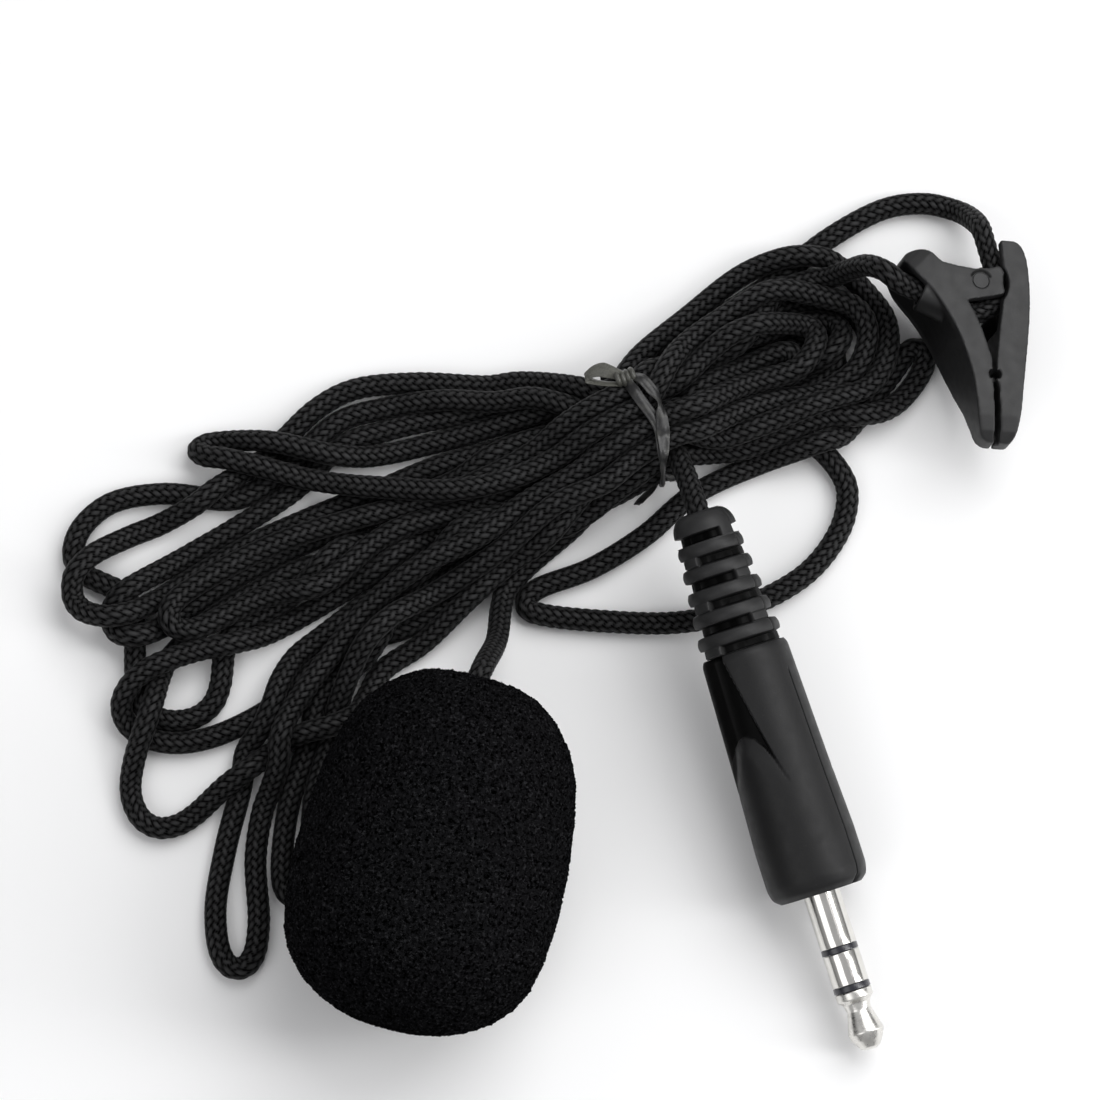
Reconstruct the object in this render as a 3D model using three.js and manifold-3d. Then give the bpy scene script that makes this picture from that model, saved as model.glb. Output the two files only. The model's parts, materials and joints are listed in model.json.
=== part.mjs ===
// Lavalier microphone with foam windscreen, coiled braided cord, twist tie, spring clip
// and 3.5 mm three-contact plug, lying on a table. Millimetres, +Z up.

import * as THREE from 'three';
import { mergeVertices } from 'three/addons/utils/BufferGeometryUtils.js';
import Module from 'manifold-3d';

// ---------------------------------------------------------------- driving dimensions

const ROUND = 20; // facets round the turned parts; nested parts share it and so keep an even gap
const HIDDEN = 12; // facets of the small parts sealed inside the capsule
const FIT = 0.05; // radial gap between nested parts

const CORD_RADIUS = 1.05;
const CORD_SPACING = 1.0; // distance between the points that are settled
const SETTLE_ROUNDS = 420;

const MIC = { position: [-18.4, -42.9, 12.6], heading: 166 };
const FOAM = { length: 33, radius: 12.5, cavityEnd: 0.6, segments: 24 };
const HOUSING = { radius: 4, rear: -14.5, front: -1, wall: 0.6, cordHole: 1.7 };
const CAP = { front: 0.1, rim: 0.7, holeRadius: 0.45, holeRing: 2.1, holes: 8 };
const CAPSULE = { radius: 3, length: 5, front: -1.9, wall: 0.25 };

const PLUG = { shoulder: [17.5, -45.4, 4.85], heading: 197.9, dip: -8, roll: 40 };
const SHAFT_RADIUS = 1.75;
const SHAFT_LENGTH = 15.2;
const BANDS = { sleeve: 5.5, ring: 9.2, width: 0.6 };
const HANDLE = { length: 23.7, frontRadius: 4.8, rearRadius: 4.15, bore: 3.3, endWall: 1.2 };
const GRIP = { depth: 0.65, tongue: 7.4, end: 12.9 };
const BOOT = { length: 12.8, rearRadius: 2.9, frontRadius: 4.1, bore: 1.25, levels: 6 };

const CLIP = { position: [31.85, 11.4, 5.6], lean: [-8.9, 13.7, 0] };
const CLIP_HALF_WIDTH = 4;
const CLIP_LUG = 1; // thickness of each pin lug
const PIN_RADIUS = 0.75;
const KNUCKLE = { radius: 1.55, from: -0.45, to: 0.6 };
const SPRING = { wire: 0.25, coil: 1.3, from: -2.65, pitch: 0.55, enters: 220.5, leaves: 1413.3 };
const EYE = { at: [-4.4, -1.2, 1.85], dip: -20, bore: 1.32, rim: 1.85, height: 1 };

const TIE = { heading: 30, halfWidth: 5.4, middle: -1, top: 8.4, reach: 2.2, thick: 0.5 };
const TIE_LIFT = 0.9; // the bundle rests on the ribbon, which goes under it

// ---------------------------------------------------------------- helpers

const wasm = await Module();
wasm.setup();

const rad = THREE.MathUtils.degToRad;
const vec = (x, y, z) => new THREE.Vector3(x, y, z);

function plain(geometry) {
  const copy = geometry.clone();
  copy.deleteAttribute('normal');
  copy.deleteAttribute('uv');
  return mergeVertices(copy, 1e-4);
}

function solid(geometry) {
  const shape = plain(geometry);
  return new wasm.Manifold(new wasm.Mesh({
    numProp: 3,
    vertProperties: new Float32Array(shape.attributes.position.array),
    triVerts: new Uint32Array(shape.index.array),
  }));
}

function geometryOf(manifold) {
  const mesh = manifold.getMesh();
  const geometry = new THREE.BufferGeometry();
  geometry.setAttribute('position', new THREE.BufferAttribute(Float32Array.from(mesh.vertProperties), 3));
  geometry.setIndex(Array.from(mesh.triVerts));
  return geometry;
}

// A closed body turned about Y from [radius, y] pairs that run round its section.
function turned(section, segments = ROUND) {
  const points = section.map(([r, y]) => new THREE.Vector2(r, y));
  points.push(points[0].clone());
  return new THREE.LatheGeometry(points, segments);
}

const rod = (radius, from, to, segments) => (
  turned([[0, from], [radius, from], [radius, to], [0, to]], segments));
const tube = (inner, outer, from, to, segments) => (
  turned([[inner, from], [outer, from], [outer, to], [inner, to]], segments));

function box(sx, sy, sz, x, y, z) {
  return new THREE.BoxGeometry(sx, sy, sz).translate(x, y, z);
}

// A plan outline in X and Y carried from one height to another.
function plate(outline, from, to) {
  const shape = new THREE.Shape(outline.map(([x, y]) => new THREE.Vector2(x, y)));
  const geometry = new THREE.ExtrudeGeometry(shape, { depth: to - from, bevelEnabled: false });
  return geometry.translate(0, 0, from);
}

// A curve whose evenly spaced stations fall on its own control points.
class StationCurve extends THREE.CatmullRomCurve3 {
  getUtoTmapping(u) {
    return u;
  }
}

function swept(points, outline) {
  const curve = new StationCurve(points);
  const shape = new THREE.Shape(outline.map(([x, y]) => new THREE.Vector2(x, y)));
  return new THREE.ExtrudeGeometry(shape, { steps: points.length - 1, extrudePath: curve });
}

const ring = (radius, sides) => Array.from({ length: sides }, (_, i) => {
  const a = (2 * Math.PI * i) / sides;
  return [radius * Math.cos(a), radius * Math.sin(a)];
});

const wire = (points, radius, sides = 6) => swept(points, ring(radius, sides));

// ---------------------------------------------------------------- materials

const finish = (color, roughness, metalness = 0) => (
  () => new THREE.MeshStandardMaterial({ color, roughness, metalness }));

const foamBlack = finish(0x0c0c0d, 0.98);
const braidBlack = finish(0x131314, 0.85);
const satinBlack = finish(0x1b1c1e, 0.5);
const clipGrey = finish(0x2b2c2f, 0.45);
const rubberBlack = finish(0x151516, 0.8);
const tieBlack = finish(0x0e0e10, 0.35);
const nickel = finish(0xc9c7c0, 0.22, 1);
const springSteel = finish(0xa9abad, 0.3, 1);
const brass = finish(0xb99a55, 0.35, 1);
const canAluminium = finish(0xb9bcbf, 0.35, 1);
const bandBlack = finish(0x0b0b0f, 0.4);
const naturalPlastic = finish(0xd9d4c4, 0.6);
const boardGreen = finish(0x1f5a33, 0.5);
const filmGold = finish(0xc8a24a, 0.3, 0.8);
const redWire = finish(0x9a1c18, 0.5);
const copperWire = finish(0xb06a3a, 0.4, 0.9);

function part(name, geometry, material) {
  const mesh = new THREE.Mesh(plain(geometry), material());
  mesh.name = name;
  return mesh;
}

function group(name, ...children) {
  const node = new THREE.Group();
  node.name = name;
  node.add(...children);
  return node;
}

// ---------------------------------------------------------------- microphone head
// Local +Y is the front of the microphone; the origin is the middle of the windscreen.

function foamWindscreen() {
  const half = FOAM.length / 2;
  const bore = HOUSING.radius + FIT;
  const profile = new THREE.SplineCurve([
    [bore + 0.3, -half + 0.1], [6.8, -half + 1.1], [9.6, -half + 4], [11.2, -half + 7.6],
    [12.2, -half + 13.5], [FOAM.radius, 3.5], [12.0, half - 8], [10.9, half - 5],
    [8.6, half - 2.4], [5.5, half - 0.7], [2.6, half - 0.1],
  ].map(([r, y]) => new THREE.Vector2(r, y)));
  const outside = profile.getPoints(14).map((p) => [p.x, p.y]);
  const section = [
    [bore, FOAM.cavityEnd], [bore, -half + 0.3], ...outside, [0, half], [0, FOAM.cavityEnd]];
  return part('foam_windscreen', turned(section, FOAM.segments), foamBlack);
}

function micHousing() {
  const { radius, rear, front, wall, cordHole } = HOUSING;
  return part('mic_housing', turned([
    [cordHole, rear], [radius - 0.5, rear], [radius, rear + 0.5], [radius, front],
    [radius - wall, front], [radius - wall, rear + 1.2], [cordHole, rear + 1.2],
  ]), satinBlack);
}

function grilleCap() {
  const { radius, front, wall } = HOUSING;
  const top = CAP.front;
  const collar = radius - wall - FIT;
  let cap = solid(turned([
    [0, top - CAP.rim], [collar - 0.4, top - CAP.rim], [collar - 0.4, front - 0.8],
    [collar, front - 0.8], [collar, front + FIT], [radius, front + FIT],
    [radius, top - 0.3], [radius - 0.3, top], [0, top],
  ]));
  for (let i = 0; i < CAP.holes; i += 1) {
    const a = (2 * Math.PI * i) / CAP.holes;
    const hole = new THREE.CylinderGeometry(CAP.holeRadius, CAP.holeRadius, 3, 12);
    cap = cap.subtract(solid(hole.translate(CAP.holeRing * Math.cos(a), top, CAP.holeRing * Math.sin(a))));
  }
  const middle = new THREE.CylinderGeometry(CAP.holeRadius, CAP.holeRadius, 3, 12).translate(0, top, 0);
  return part('mic_grille_cap', geometryOf(cap.subtract(solid(middle))), satinBlack);
}

function capsuleParts() {
  const { radius, length, front, wall } = CAPSULE;
  const rear = front - length;
  const inside = radius - wall - FIT;
  const stack = front - wall - FIT; // the parts below are stacked behind the can's front wall
  const can = part('capsule_can', turned([
    [0.6, front - wall], [radius - wall, front - wall], [radius - wall, rear],
    [radius, rear], [radius, front], [0.6, front],
  ]), canAluminium);
  const clothTop = CAP.front - CAP.rim - FIT;
  return [
    can,
    part('grille_cloth', rod(2.85, clothTop - 0.35, clothTop), foamBlack),
    part('diaphragm_ring', tube(2.0, inside, stack - 0.4, stack, HIDDEN), brass),
    part('diaphragm', rod(inside, stack - 0.5, stack - 0.42, HIDDEN), filmGold),
    part('spacer_ring', tube(2.2, inside, stack - 0.65, stack - 0.52, HIDDEN), naturalPlastic),
    part('electret_plate', rod(2.1, stack - 1.1, stack - 0.7, HIDDEN), nickel),
    part('plate_holder', tube(2.2, inside, stack - 3.9, stack - 0.7, HIDDEN), naturalPlastic),
    part('field_effect_transistor', box(1.6, 1.4, 1.3, 0, stack - 2.9, 0), rubberBlack),
    part('capsule_circuit_board', rod(inside, stack - 4.55, stack - 3.95, HIDDEN), boardGreen),
    part('rubber_sleeve', tube(radius + FIT, HOUSING.radius - HOUSING.wall - FIT, rear - 0.2, front),
      rubberBlack),
  ];
}

function micRear() {
  const { rear, cordHole } = HOUSING;
  const board = CAPSULE.front - CAPSULE.wall - FIT - 4.6;
  const jacket = -11.8;
  const signal = [vec(0.45, jacket + 0.1, 0), vec(0.6, jacket + 1, 0.4), vec(1.1, board - 1.2, 0.5),
    vec(1.2, board - 0.1, 0.4)];
  const shield = [vec(-0.45, jacket + 0.1, 0), vec(-0.6, jacket + 1, -0.4), vec(-1.2, board - 1.2, -0.3),
    vec(-1.3, board - 0.1, -0.3)];
  const bore = CORD_RADIUS + 0.1;
  return [
    part('cord_grommet', turned([
      [bore, rear - 1.1], [cordHole + 0.4, rear - 1.1], [cordHole + 0.7, rear - 0.6],
      [cordHole + 0.7, rear - FIT], [cordHole - FIT, rear - FIT], [cordHole - FIT, rear + 1.2 + FIT],
      [cordHole + 0.6, rear + 1.2 + FIT], [cordHole + 0.6, rear + 2], [bore, rear + 2],
    ]), rubberBlack),
    part('mic_signal_wire', wire(signal, 0.3), redWire),
    part('mic_shield_wire', wire(shield, 0.3), copperWire),
  ];
}

function microphone() {
  const node = group('microphone_head', foamWindscreen(), micHousing(), grilleCap(), ...capsuleParts(),
    ...micRear());
  node.position.set(...MIC.position);
  node.rotation.z = rad(MIC.heading);
  return node;
}

// ---------------------------------------------------------------- plug
// Local +Y runs out of the handle to the tip; the origin is the middle of the handle's front face.

function contacts() {
  const r = SHAFT_RADIUS;
  const half = BANDS.width / 2;
  const [sleeveEnd, ringStart] = [BANDS.sleeve - half, BANDS.sleeve + half];
  const [ringEnd, tipStart] = [BANDS.ring - half, BANDS.ring + half];
  const layers = { rod: 0.55, tipTube: 0.75, ringTube: 0.95, ringSleeve: 1.2 };
  const g = FIT / 2;
  const tip = part('tip_contact', turned([
    [0, -7.4], [layers.rod, -7.4], [layers.rod, tipStart + g], [r, tipStart + g], [r, tipStart + 0.8],
    [1.3, tipStart + 1.15], [1.15, 11.4], [1.72, 13.5], [1.45, 14.2], [0.95, 15],
    [0.5, SHAFT_LENGTH], [0, SHAFT_LENGTH],
  ]), nickel);
  const ringInsulator = part('ring_insulator', turned([
    [layers.rod + g, -6.2], [layers.tipTube, -6.2], [layers.tipTube, ringEnd + g], [r, ringEnd + g],
    [r, tipStart - g], [layers.rod + g, tipStart - g],
  ]), bandBlack);
  const ringContact = part('ring_contact', turned([
    [layers.tipTube + g, -5.2], [layers.ringTube, -5.2], [layers.ringTube, ringStart + g],
    [r, ringStart + g], [r, ringEnd - g], [layers.tipTube + g, ringEnd - g],
  ]), nickel);
  const sleeveInsulator = part('sleeve_insulator', turned([
    [layers.ringTube + g, -4.2], [layers.ringSleeve, -4.2], [layers.ringSleeve, sleeveEnd + g],
    [r, sleeveEnd + g], [r, ringStart - g], [layers.ringTube + g, ringStart - g],
  ]), bandBlack);
  const sleeve = part('sleeve_contact', turned([
    [layers.ringSleeve + g, -2.9], [2.6, -2.9], [2.6, -1.4], [r, -1.4], [r, sleeveEnd - g],
    [layers.ringSleeve + g, sleeveEnd - g],
  ]), nickel);
  return [tip, ringInsulator, ringContact, sleeveInsulator, sleeve];
}

function solderLugs() {
  const lug = (bore, width, from, side) => {
    const washer = solid(tube(bore, bore + width, from, from + 0.35));
    const tail = solid(box(0.9, 3.2, 0.3, 0, from - 1.2, side * (bore + width - 0.15)));
    return geometryOf(washer.add(tail));
  };
  return [
    part('sleeve_lug', lug(1.2 + FIT, 0.65, -3.4, 1), brass),
    part('ring_lug', lug(0.95 + FIT, 0.4, -4.75, -1), brass),
  ];
}

// A plain block round the rear of the contacts, hollow inside so that the lugs stand free.
function innerMoulding() {
  return part('inner_moulding', turned([
    [2.2, -8], [3.2, -8], [3.2, -1.3], [SHAFT_RADIUS + FIT, -1.3], [SHAFT_RADIUS + FIT, -1.36],
    [2.6 + FIT, -1.36], [2.6 + FIT, -3], [2.2, -3.1],
  ]), naturalPlastic);
}

// One side of the grip: a V that widens towards the front, with a rounded tongue left standing in it.
function gripRecess() {
  const { tongue, end } = GRIP;
  const rear = -HANDLE.length;
  const edge = [[1.0, -0.5], [2.4, 5.5], [3.85, end]];
  const arch = [[3.3, 11.2], [2.7, 9.4], [1.8, 8.1], [0.9, tongue + 0.1]];
  const right = [...edge, ...arch].map(([s, u]) => [s, rear + u]);
  const left = [...right].reverse().map(([s, u]) => [-s, u]);
  return plate([...right, [0, rear + tongue], ...left], 0.2, 6);
}

function handleProfile(inset) {
  const { length, frontRadius, rearRadius } = HANDLE;
  const f = frontRadius - inset;
  return [
    [rearRadius - 0.25 - inset, -length], [rearRadius - inset, -length + 0.3], [f - 0.3, -length * 0.5],
    [f, -5], [f, -1.5], [f - 0.25, -0.6], [f - 0.85, 0]];
}

function plugHandle() {
  const { length, bore, endWall } = HANDLE;
  const inner = [[SHAFT_RADIUS + FIT, 0], [SHAFT_RADIUS + FIT, -endWall], [bore, -endWall], [bore, -9],
    [2.2, -9], [2.2, -length]];
  let body = solid(turned([...handleProfile(0), ...inner], 32));
  const core = solid(turned([...handleProfile(GRIP.depth), [0, 0], [0, -length - 1]], 32));
  const recess = solid(gripRecess()).subtract(core);
  body = body.subtract(recess).subtract(recess.rotate([0, 180, 0]));
  return part('plug_handle', geometryOf(body), satinBlack);
}

function bootRadius(y) {
  const t = (y + HANDLE.length + BOOT.length) / BOOT.length;
  return THREE.MathUtils.lerp(BOOT.rearRadius, BOOT.frontRadius, t);
}

// Rings joined by two spines; the open slots between the rings turn a quarter at every level.
function strainReliefBoot() {
  const { length, bore, levels } = BOOT;
  const front = -HANDLE.length - FIT;
  const rear = -HANDLE.length - length;
  const pitch = length / levels;
  const gap = pitch * 0.46;
  const outline = [[bore, rear], [bootRadius(rear) - 0.3, rear]];
  for (let i = 0; i < levels; i += 1) {
    const start = rear + i * pitch;
    outline.push([bootRadius(start), start + 0.3], [bootRadius(start), start + pitch - gap - 0.1]);
    outline.push([bootRadius(start) - 0.75, start + pitch - gap], [bootRadius(start) - 0.75, start + pitch]);
  }
  outline.push([bootRadius(front) - 0.75, front], [2.15, front], [2.15, front + 4.5], [bore, front + 4.5]);
  let body = solid(turned(outline, ROUND));
  for (let i = 0; i < levels; i += 1) {
    const y = rear + (i + 1) * pitch - gap / 2;
    const across = box(4.4, gap * 0.86, 6, 0, y, bore + 0.45 + 3);
    const below = across.clone().rotateY(Math.PI);
    const turn = i % 2 ? Math.PI / 2 : 0;
    body = body.subtract(solid(across.rotateY(turn))).subtract(solid(below.rotateY(turn)));
  }
  return part('strain_relief_boot', geometryOf(body), rubberBlack);
}

function plugWires() {
  const jacket = -18.8;
  const signal = [vec(0.4, jacket + 0.1, 0), vec(0.6, jacket + 3, 0), vec(0.9, -11, 0), vec(0.3, -8.5, 0),
    vec(0.1, -7.5, 0)];
  const shield = [vec(-0.4, jacket + 0.1, 0), vec(-0.8, jacket + 3, 0), vec(-1, -11, 0.6),
    vec(-0.6, -8, 1.7), vec(-0.3, -6.5, 1.9)];
  return [
    part('plug_signal_wire', wire(signal, 0.3), redWire),
    part('plug_shield_wire', wire(shield, 0.22), copperWire),
  ];
}

function plug() {
  const node = group('plug', ...contacts(), ...solderLugs(), innerMoulding(), plugHandle(),
    strainReliefBoot(), ...plugWires());
  node.position.set(...PLUG.shoulder);
  node.rotation.set(rad(PLUG.dip), rad(PLUG.roll), rad(PLUG.heading), 'ZXY');
  return node;
}

// ---------------------------------------------------------------- clip
// Local Z is the hinge pin, +Y points from the jaws to the handles, the origin is on the pin.

const JAW = { root: -10.1, tip: -15.5, x: 1.25, slope: 0.09, gap: 0.08, tooth: 0.9, depth: 0.3 };
const jawLine = (y) => JAW.x + JAW.slope * (JAW.root - y);

// Teeth down the inner side of a jaw; those of the two jaws interlock with an even gap.
function teeth(side) {
  const points = [];
  const count = Math.round((JAW.root - JAW.tip) / JAW.tooth);
  for (let i = 0; i <= count; i += 1) {
    const y = JAW.root - (i * (JAW.root - JAW.tip)) / count;
    points.push([jawLine(y) + side * JAW.gap + (i % 2 ? JAW.depth / 2 : -JAW.depth / 2), y]);
  }
  return points;
}

// A smooth line through the given places.
const flowing = (places, steps = 3) => new THREE.CatmullRomCurve3(
  places.map(([x, y]) => vec(x, y, 0)), false, 'centripetal')
  .getPoints(steps * (places.length - 1)).map((p) => [p.x, p.y]);

// How the ends of the arms thin out: [place along the arm, distance from the middle of the width].
const JAW_TOP = [[-9.5, 4.01], [-11.5, 3.75], [-13.2, 3.35], [-14.6, 2.75], [-15.3, 2.2], [-16.6, 1.2]];
const JAW_UNDER = [[-5.5, 4.01], [-7.6, 3.5], [-9.6, 2.6], [-11.8, 1], [-13.6, 0.1], [-15.2, -0.25],
  [-16.6, -0.3]];
const HANDLE_TIP = [[3.4, 4.01], [5.2, 3.75], [6.2, 3.3], [6.9, 2.6], [8.4, 1.5]];

function thinned(arm, run, side, turn = new THREE.Matrix4()) {
  const above = CLIP_HALF_WIDTH + 1;
  const outline = [...run, [run[run.length - 1][0], above], [run[0][0], above]];
  const wedge = plate(outline.map(([y, z]) => [y, side * z]), -9, 9);
  const stand = new THREE.Matrix4().makeBasis(vec(0, 1, 0), vec(0, 0, 1), vec(1, 0, 0));
  return arm.subtract(solid(wedge.applyMatrix4(stand).applyMatrix4(turn)));
}

// The jaws thin out to their tips, with a groove down the line where they meet.
function jawEnd(arm) {
  const groove = [-1, 1].map((side) => [0, 1, 2, 3, 4, 5, 6, 7, 8].map((i) => (
    [jawLine(-10 - i * 0.8) + side * 0.26 + (i % 2 ? 0.05 : -0.03), -10 - i * 0.8])));
  const outline = [...groove[0], ...groove[1].reverse()];
  let body = thinned(thinned(arm, JAW_TOP, 1), JAW_UNDER, -1);
  body = body.subtract(solid(plate(outline, 1.4, 5)));
  for (const x of [0.8, 1.53]) {
    const hollow = new THREE.CylinderGeometry(1, 1, 3, 16).rotateX(Math.PI / 2).scale(0.24, 0.45, 1);
    body = body.subtract(solid(hollow.translate(x, -9.3, 3.7)));
  }
  return body;
}

function leftArm() {
  const w = CLIP_HALF_WIDTH;
  const outer = flowing([[-7.1, 1.5], [-6.3, 0.35], [-4.7, -1.4], [-3.35, -3.4], [-2.3, -5.4], [-1.6, -7.3],
    [-1, -9.4], [-0.6, -11.6], [-0.2, -13.9], [0.2, -15.1], [0.9, -15.5]]);
  const inner = flowing([[0.75, -7.2], [0.3, -5.7], [-0.4, -3.8], [-1.5, -1.8], [-2.1, -0.6], [-3, 0.7],
    [-4.2, 2.1], [-5, 2.8], [-5.9, 2.95], [-6.9, 2.6], [-7.2, 2], [-7.1, 1.5]]).slice(0, -1);
  const lever = [...outer, ...teeth(-1).reverse(), [0.97, -9.9], [0.95, -7.8], ...inner];
  const polar = (a, r) => [r * Math.cos(rad(a)), r * Math.sin(rad(a))];
  const lug = [[-5.1, 2.75], [-4.5, 1.95], [-3.6, 1.6], [-2.2, 1.35], [-0.6, 1.2], [0.8, 1.35],
    polar(42, 2.5), polar(36, 2.57), polar(24, 2.57), polar(15, 2.3), polar(0, 2.2), polar(-13, 2.3),
    polar(-20, 2.53), polar(-27, 2.5), [1.2, -1.45], [-1.5, -2.1], [-2.6, -2.6], [-4.6, -1.2]];
  let arm = jawEnd(solid(plate(lever, -w, w)));
  arm = arm.add(solid(plate(lug, w - CLIP_LUG, w))).add(solid(plate(lug, -w, CLIP_LUG - w)));
  const handleEnd = new THREE.Matrix4().makeRotationZ(rad(48));
  for (const side of [1, -1]) arm = thinned(arm, HANDLE_TIP, side, handleEnd);
  const [ex, ey, ez] = EYE.at;
  const along = (geometry) => geometry.rotateZ(rad(EYE.dip) - Math.PI / 2).translate(ex, ey, ez);
  const rim = new THREE.CylinderGeometry(EYE.rim, EYE.rim, 3, 24).translate(0, 1.5 - EYE.height, 0);
  const bore = new THREE.CylinderGeometry(EYE.bore, EYE.bore, 12, 16);
  const pinHole = new THREE.CylinderGeometry(PIN_RADIUS + 0.02, PIN_RADIUS + 0.02, 20, ROUND);
  arm = arm.add(solid(along(rim))).subtract(solid(along(bore)))
    .subtract(solid(pinHole.rotateX(Math.PI / 2)));
  return part('clip_left_arm', geometryOf(arm), clipGrey);
}

function rightArm() {
  const w = CLIP_HALF_WIDTH;
  const back = flowing([[4.5, -5.8], [4.72, -3.4], [4.8, -0.8], [4.72, 1.4], [4.45, 3], [4.05, 3.85],
    [3.5, 4.3], [2.9, 4.35]]);
  const tip = flowing([[2.4, -15.5], [3, -15.45], [3.45, -14.9], [3.75, -13.5], [3.9, -12], [4, -10.2]]);
  const lever = [
    [2.05, 4.35], [2.25, 1.7], [2.35, 0], [2.2, -1.4], [1.75, -4.5], [1.5, -6.7], [1.38, -7.9],
    [1.34, -9.9], ...teeth(1), ...tip, ...back];
  const tongue = [[2.4, 1.2], ...[75, 110, 145, 180, 215, 250, 285].map((a) => (
    [KNUCKLE.radius * Math.cos(rad(a)), KNUCKLE.radius * Math.sin(rad(a))])), [2.3, -1.5], [3, 0]];
  let arm = jawEnd(solid(plate(lever, -w, w)));
  const clear = w - CLIP_LUG - 0.1;
  const trough = [[1, 5], [1, -4.4], [1.9, -4.4], [3.5, -3.2], [3.75, -2], [3.8, 2], [3.4, 5]];
  arm = arm.subtract(solid(plate(trough, -clear, clear)));
  arm = arm.add(solid(plate(tongue, KNUCKLE.from, KNUCKLE.to)))
    .add(solid(box(1.9, 2.4, KNUCKLE.to - KNUCKLE.from, 3.2, 0, (KNUCKLE.to + KNUCKLE.from) / 2)));
  const swing = new THREE.CylinderGeometry(2.75, 2.75, 2, 48).rotateX(Math.PI / 2);
  for (const side of [-1, 1]) {
    arm = arm.subtract(solid(swing.clone().translate(0, 0, side * (clear + 1))));
  }
  const pinHole = new THREE.CylinderGeometry(PIN_RADIUS + FIT, PIN_RADIUS + FIT, 20, ROUND);
  arm = arm.subtract(solid(pinHole.rotateX(Math.PI / 2)));
  return part('clip_right_arm', geometryOf(arm), clipGrey);
}

function hingePin() {
  const length = 2 * CLIP_HALF_WIDTH - 0.1;
  const pin = new THREE.CylinderGeometry(PIN_RADIUS, PIN_RADIUS, length, ROUND).rotateX(Math.PI / 2);
  return part('clip_hinge_pin', pin, nickel);
}

// A coil round the pin with one leg along the inside of each handle.
function torsionSpring() {
  const { coil, from, pitch, enters, leaves } = SPRING;
  const points = [vec(-3.6, 2.2, from), vec(-2.3, 0.67, from)];
  const steps = Math.round((leaves - enters) / 45);
  for (let i = 0; i <= steps; i += 1) {
    const turned45 = ((leaves - enters) * i) / steps;
    const a = rad(enters + turned45);
    points.push(vec(coil * Math.cos(a), coil * Math.sin(a), from + (pitch * turned45) / 360));
  }
  const end = points[points.length - 1].z;
  points.push(vec(2.5, 2.1, end), vec(3.05, 3.2, end));
  return part('clip_spring', wire(points, SPRING.wire, 5), springSteel);
}

function clip() {
  const node = group('clip', leftArm(), rightArm(), hingePin(), torsionSpring());
  node.position.set(...CLIP.position);
  node.rotation.set(...CLIP.lean.map(rad));
  return node;
}

// ---------------------------------------------------------------- cord
// One length from the microphone to the plug. Every pass is a few points it lies over; the heights
// give the order in which the strands lie on each other, and settle() brings them into contact.

const microphoneHead = microphone();
const jackPlug = plug();
const springClip = clip();
for (const node of [microphoneHead, jackPlug, springClip]) node.updateMatrixWorld(true);

const inside = (node, points) => points.map((p) => vec(...p).applyMatrix4(node.matrixWorld));
const fixed = (points) => points.map((p) => Object.assign(p, { held: true }));
const lay = (...points) => points.map((p) => vec(...p));

// Down between the handles, round under the pin and out of the eye in the left arm.
function throughClip() {
  const [x, y, z] = EYE.at;
  const [c, s] = [Math.cos(rad(EYE.dip)), Math.sin(rad(EYE.dip))];
  const eye = (d) => [x + c * d, y + s * d, z];
  const round = (a) => [2.35 * Math.cos(rad(a)), 2.35 * Math.sin(rad(a)), z];
  return [
    ...inside(springClip, [[0.6, 7.8, 1.3]]),
    ...fixed(inside(springClip, [[1, 5.8, 1.7], [1.2, 4, z], [1.85, 2.2, z], round(10), round(-25),
      round(-60), [-0.4, -2.65, z], eye(2.8), eye(1.4), eye(0), eye(-1.4),
      [-7, -0.5, 2.1], [-8.7, 0.4, 2.7]])),
    ...inside(springClip, [[-10.6, 1.7, 3]]),
  ];
}

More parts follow.
